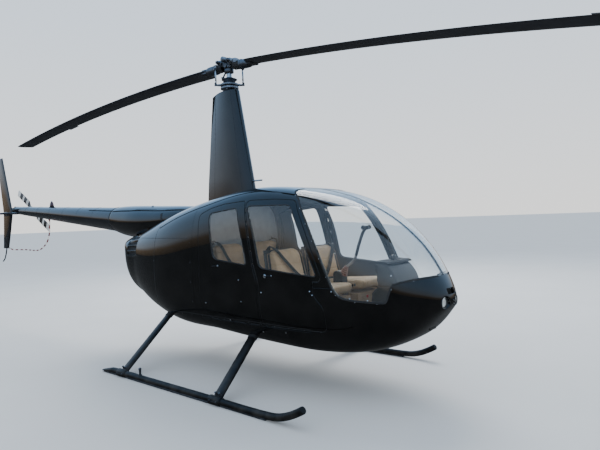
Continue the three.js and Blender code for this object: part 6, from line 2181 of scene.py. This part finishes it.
whiteMetal = metalFinish("paleMetal", (0.80, 0.81, 0.82), 0.3, bump=0.05)
for side, flip in fromRight:
    putMesh(f"windshieldScrews_{side}", *flip(joinForms(screwRow("windshield", 0.013, 0.16),
                                                        onPod(fittings["screws"], 0.006, 0.003))), whiteMetal,
            slot="steel")
    cowlPlaces = [(x, z) for z in fittings["cowlHeights"] for x in fittings["cowlColumns"]]
    cowlPlaces += levelRow(*fittings["upperScrews"]) + levelRow(*fittings["lowerScrews"])
    putMesh(f"cowlScrews_{side}", *flip(onPod(cowlPlaces, 0.0042, 0.0018)), darkSteel, slot="dark_metal")
    latch = []
    point, outward = podSide(np.array(fittings["latches"]))
    for at, away in zip(point, outward):
        wide = 0.016 if at[0] > 1 else 0.009
        latch.append(lathe([[0, -0.003], [wide, -0.003], [wide, 0.004], [wide * 0.8, 0.007], [0, 0.007]], at,
                           away, 28))
    frontHandle, rearHandle = latch
    lever = []
    for start, end in fittings["levers"]:
        ends, away = podSide(np.array([start, end]))
        lever.append(tube(np.linspace(ends[0] + away[0] * 0.010, ends[1] + away[1] * 0.010, 8),
                          np.array([0.0045, 0.006, 0.0065, 0.0065, 0.006, 0.006, 0.0055, 0.003]), 16,
                          flatten=0.7))
    putMesh(f"frontDoorHandle_{side}",
            *flip(joinForms(frontHandle, onPod(fittings["frontLock"], 0.006, 0.005))),
            whiteMetal, f"front_{side}_door", slot="steel")
    putMesh(f"rearDoorHandle_{side}", *flip(rearHandle), whiteMetal, f"rear_{side}_door", slot="steel")
    for row, form in zip(("front", "rear"), lever):
        putMesh(f"{row}DoorLever_{side}", *flip(form), satinBlack, f"{row}_{side}_door", slot="satin_black")
    putMesh(f"frontDoorFittings_{side}", *flip(onPod(fittings["frontDoor"], 0.0065, 0.004)),
            whiteMetal, f"front_{side}_door", slot="steel")
    putMesh(f"rearDoorFittings_{side}", *flip(onPod(fittings["rearDoor"], 0.0055, 0.003)),
            whiteMetal, f"rear_{side}_door", slot="steel")
    putMesh(f"bellyFittings_{side}", *flip(onPod(fittings["belly"], 0.008, 0.004)),
            whiteMetal, slot="steel")
    seamLine = []
    rearX, low, high, count = fittings["rearSeam"]
    for line in ([(rearX, z) for z in np.linspace(low, high, count)], levelRow(*fittings["upperSeam"]),
                 levelRow(*fittings["lowerSeam"])):
        at, away = podSide(np.array(line))
        seamLine.append(sealForm(at, away, 0.0022, 0.0011, 8, closed=False))
    putMesh(f"cowlSeams_{side}", *flip(joinForms(*seamLine)), blackRubber)
    putMesh(f"hingeBolts_{side}", *flip(onPod(fittings["hinge"], 0.0065, 0.005)), whiteMetal, slot="steel")
print("fittings made")


# Studio: a pale floor, a soft sky-like dome, one broad lamp above, and the photograph's camera

studio = {
    "camera": (4.255, -3.945, 1.548),    # from the mast axis, as everything else
    "azimuth": 40.048,                   # degrees from +Y towards -X
    "pitch": -0.675,
    "roll": -2.177,
    "focal": 519.26,                     # pixels, for an image 600 pixels wide
    "imageWidth": 600,
    "floorSize": 400.0,
    "floorColor": (0.72, 0.715, 0.70),
    "floorReflected": 0.10,              # share of that colour which glossy surfaces see
    "backdrop": ((0.0, (0.97, 0.97, 0.96)), (1.0, (0.62, 0.76, 0.94)), (0.10, (0.92, 0.95, 0.98)),
                 (0.35, (0.76, 0.86, 0.98))),
    "reflected": ((0.0, (0.14, 0.11, 0.08)), (1.0, (0.30, 0.54, 0.90)), (0.05, (0.27, 0.21, 0.15)),
                  (0.10, (0.52, 0.58, 0.66)), (0.24, (0.48, 0.70, 0.98)), (0.55, (0.32, 0.60, 1.0))),
    "skyStrength": 1.4,
    "lampPlace": (-3.0, 6.0, 9.0),
    "lampSize": 7.0,
    "lampPower": 900.0,
}


# The photograph's camera: azimuth, pitch and roll turn its axes, and lens = 36 * focal / imageWidth
def makeCamera():
    azimuth, pitch, roll = (math.radians(studio[k]) for k in ("azimuth", "pitch", "roll"))
    ahead = np.array([-math.sin(azimuth) * math.cos(pitch), math.cos(azimuth) * math.cos(pitch),
                      math.sin(pitch)])
    right = np.array([math.cos(azimuth), math.sin(azimuth), 0])
    up = np.cross(right, ahead)
    rolledRight = math.cos(roll) * right + math.sin(roll) * up
    rolledUp = -math.sin(roll) * right + math.cos(roll) * up
    data = bpy.data.cameras.new("photoCamera")
    data.sensor_width = 36
    data.sensor_fit = "HORIZONTAL"
    data.lens = data.sensor_width * studio["focal"] / studio["imageWidth"]
    data.clip_end = 500
    camera = bpy.data.objects.new("photoCamera", data)
    bpy.context.scene.collection.objects.link(camera)
    turn = Matrix(np.stack([rolledRight, rolledUp, -ahead], 1).tolist())
    place = np.array(studio["camera"]) + (mastX, 0, 0)
    camera.matrix_world = Matrix.Translation(place.tolist()) @ turn.to_4x4()
    bpy.context.scene.camera = camera


# A pale matt floor, which glossy surfaces see dimmed
def makeFloor():
    half = studio["floorSize"] / 2
    mesh = bpy.data.meshes.new("studioFloor")
    mesh.from_pydata([(-half, -half, 0), (half, -half, 0), (half, half, 0), (-half, half, 0)], [],
                     [(0, 1, 2, 3)])
    material, tree, shader, place = newMaterial("studioFloor")
    grain = grainIn(tree, place, 40.0, 0.8, 0.7)
    pale = studio["floorColor"]
    seen = mixColor(tree, grain.outputs["Mask"], pale, tuple(c * 0.965 for c in pale))
    glossy = mirrorShare(tree)
    dim = tuple(c * studio["floorReflected"] for c in pale)
    tree.links.new(mixColor(tree, glossy, seen, dim), shader.inputs["Base Color"])
    shader.inputs["Roughness"].default_value = 0.9
    shader.inputs["Specular IOR Level"].default_value = 0.0
    mesh.materials.append(material)
    floor = bpy.data.objects.new("studioFloor", mesh)
    bpy.context.scene.collection.objects.link(floor)
    floor.location.z = -0.001


# One for a ray that a glossy surface threw back, and none for one that came through glass
def mirrorShare(tree):
    path = addNode(tree, "ShaderNodeLightPath")
    through = addNode(tree, "ShaderNodeMath", {0: 1.0, 1: path.outputs["Is Transmission Ray"]},
                      operation="SUBTRACT")
    return addNode(tree, "ShaderNodeMath", {0: path.outputs["Is Glossy Ray"], 1: through.outputs[0]},
                   operation="MULTIPLY").outputs[0]


# A colour ramp with a stop for each place and colour
def rampOf(tree, share, stops):
    ramp = addNode(tree, "ShaderNodeValToRGB", {0: share})
    elements = ramp.color_ramp.elements
    for index, (position, color) in enumerate(stops):
        element = elements[index] if index < 2 else elements.new(position)
        element.position, element.color = position, (*color, 1)
    return ramp.outputs[0]


# A dome with one ramp by height seen directly and one in reflections, and a broad lamp
def makeLight():
    world = bpy.data.worlds.new("softDome")
    bpy.context.scene.world = world
    world.use_nodes = True
    tree = world.node_tree
    direction = addNode(tree, "ShaderNodeTexCoord").outputs["Generated"]
    height = addNode(tree, "ShaderNodeSeparateXYZ", {0: direction}).outputs[2]
    backdrop, reflected = (rampOf(tree, height, studio[k]) for k in ("backdrop", "reflected"))
    color = addNode(tree, "ShaderNodeMix", {0: mirrorShare(tree)}, data_type="RGBA")
    tree.links.new(backdrop, color.inputs[6])
    tree.links.new(reflected, color.inputs[7])
    background = tree.nodes["Background"]
    tree.links.new(color.outputs[2], background.inputs[0])
    background.inputs[1].default_value = studio["skyStrength"]
    data = bpy.data.lights.new("broadLamp", "AREA")
    data.shape, data.size, data.energy = "DISK", studio["lampSize"], studio["lampPower"]
    lamp = bpy.data.objects.new("broadLamp", data)
    bpy.context.scene.collection.objects.link(lamp)
    lamp.visible_glossy = False
    place = np.array(studio["lampPlace"]) + (mastX, 0, 0)
    lamp.location = place.tolist()
    lamp.rotation_euler = (Matrix.Translation(place.tolist()).to_translation()
                           - Matrix.Translation((mastX, 0, 1)).to_translation()).to_track_quat("Z",
                                                                                               "Y").to_euler()


makeCamera()
makeFloor()
makeLight()
print("studio made")
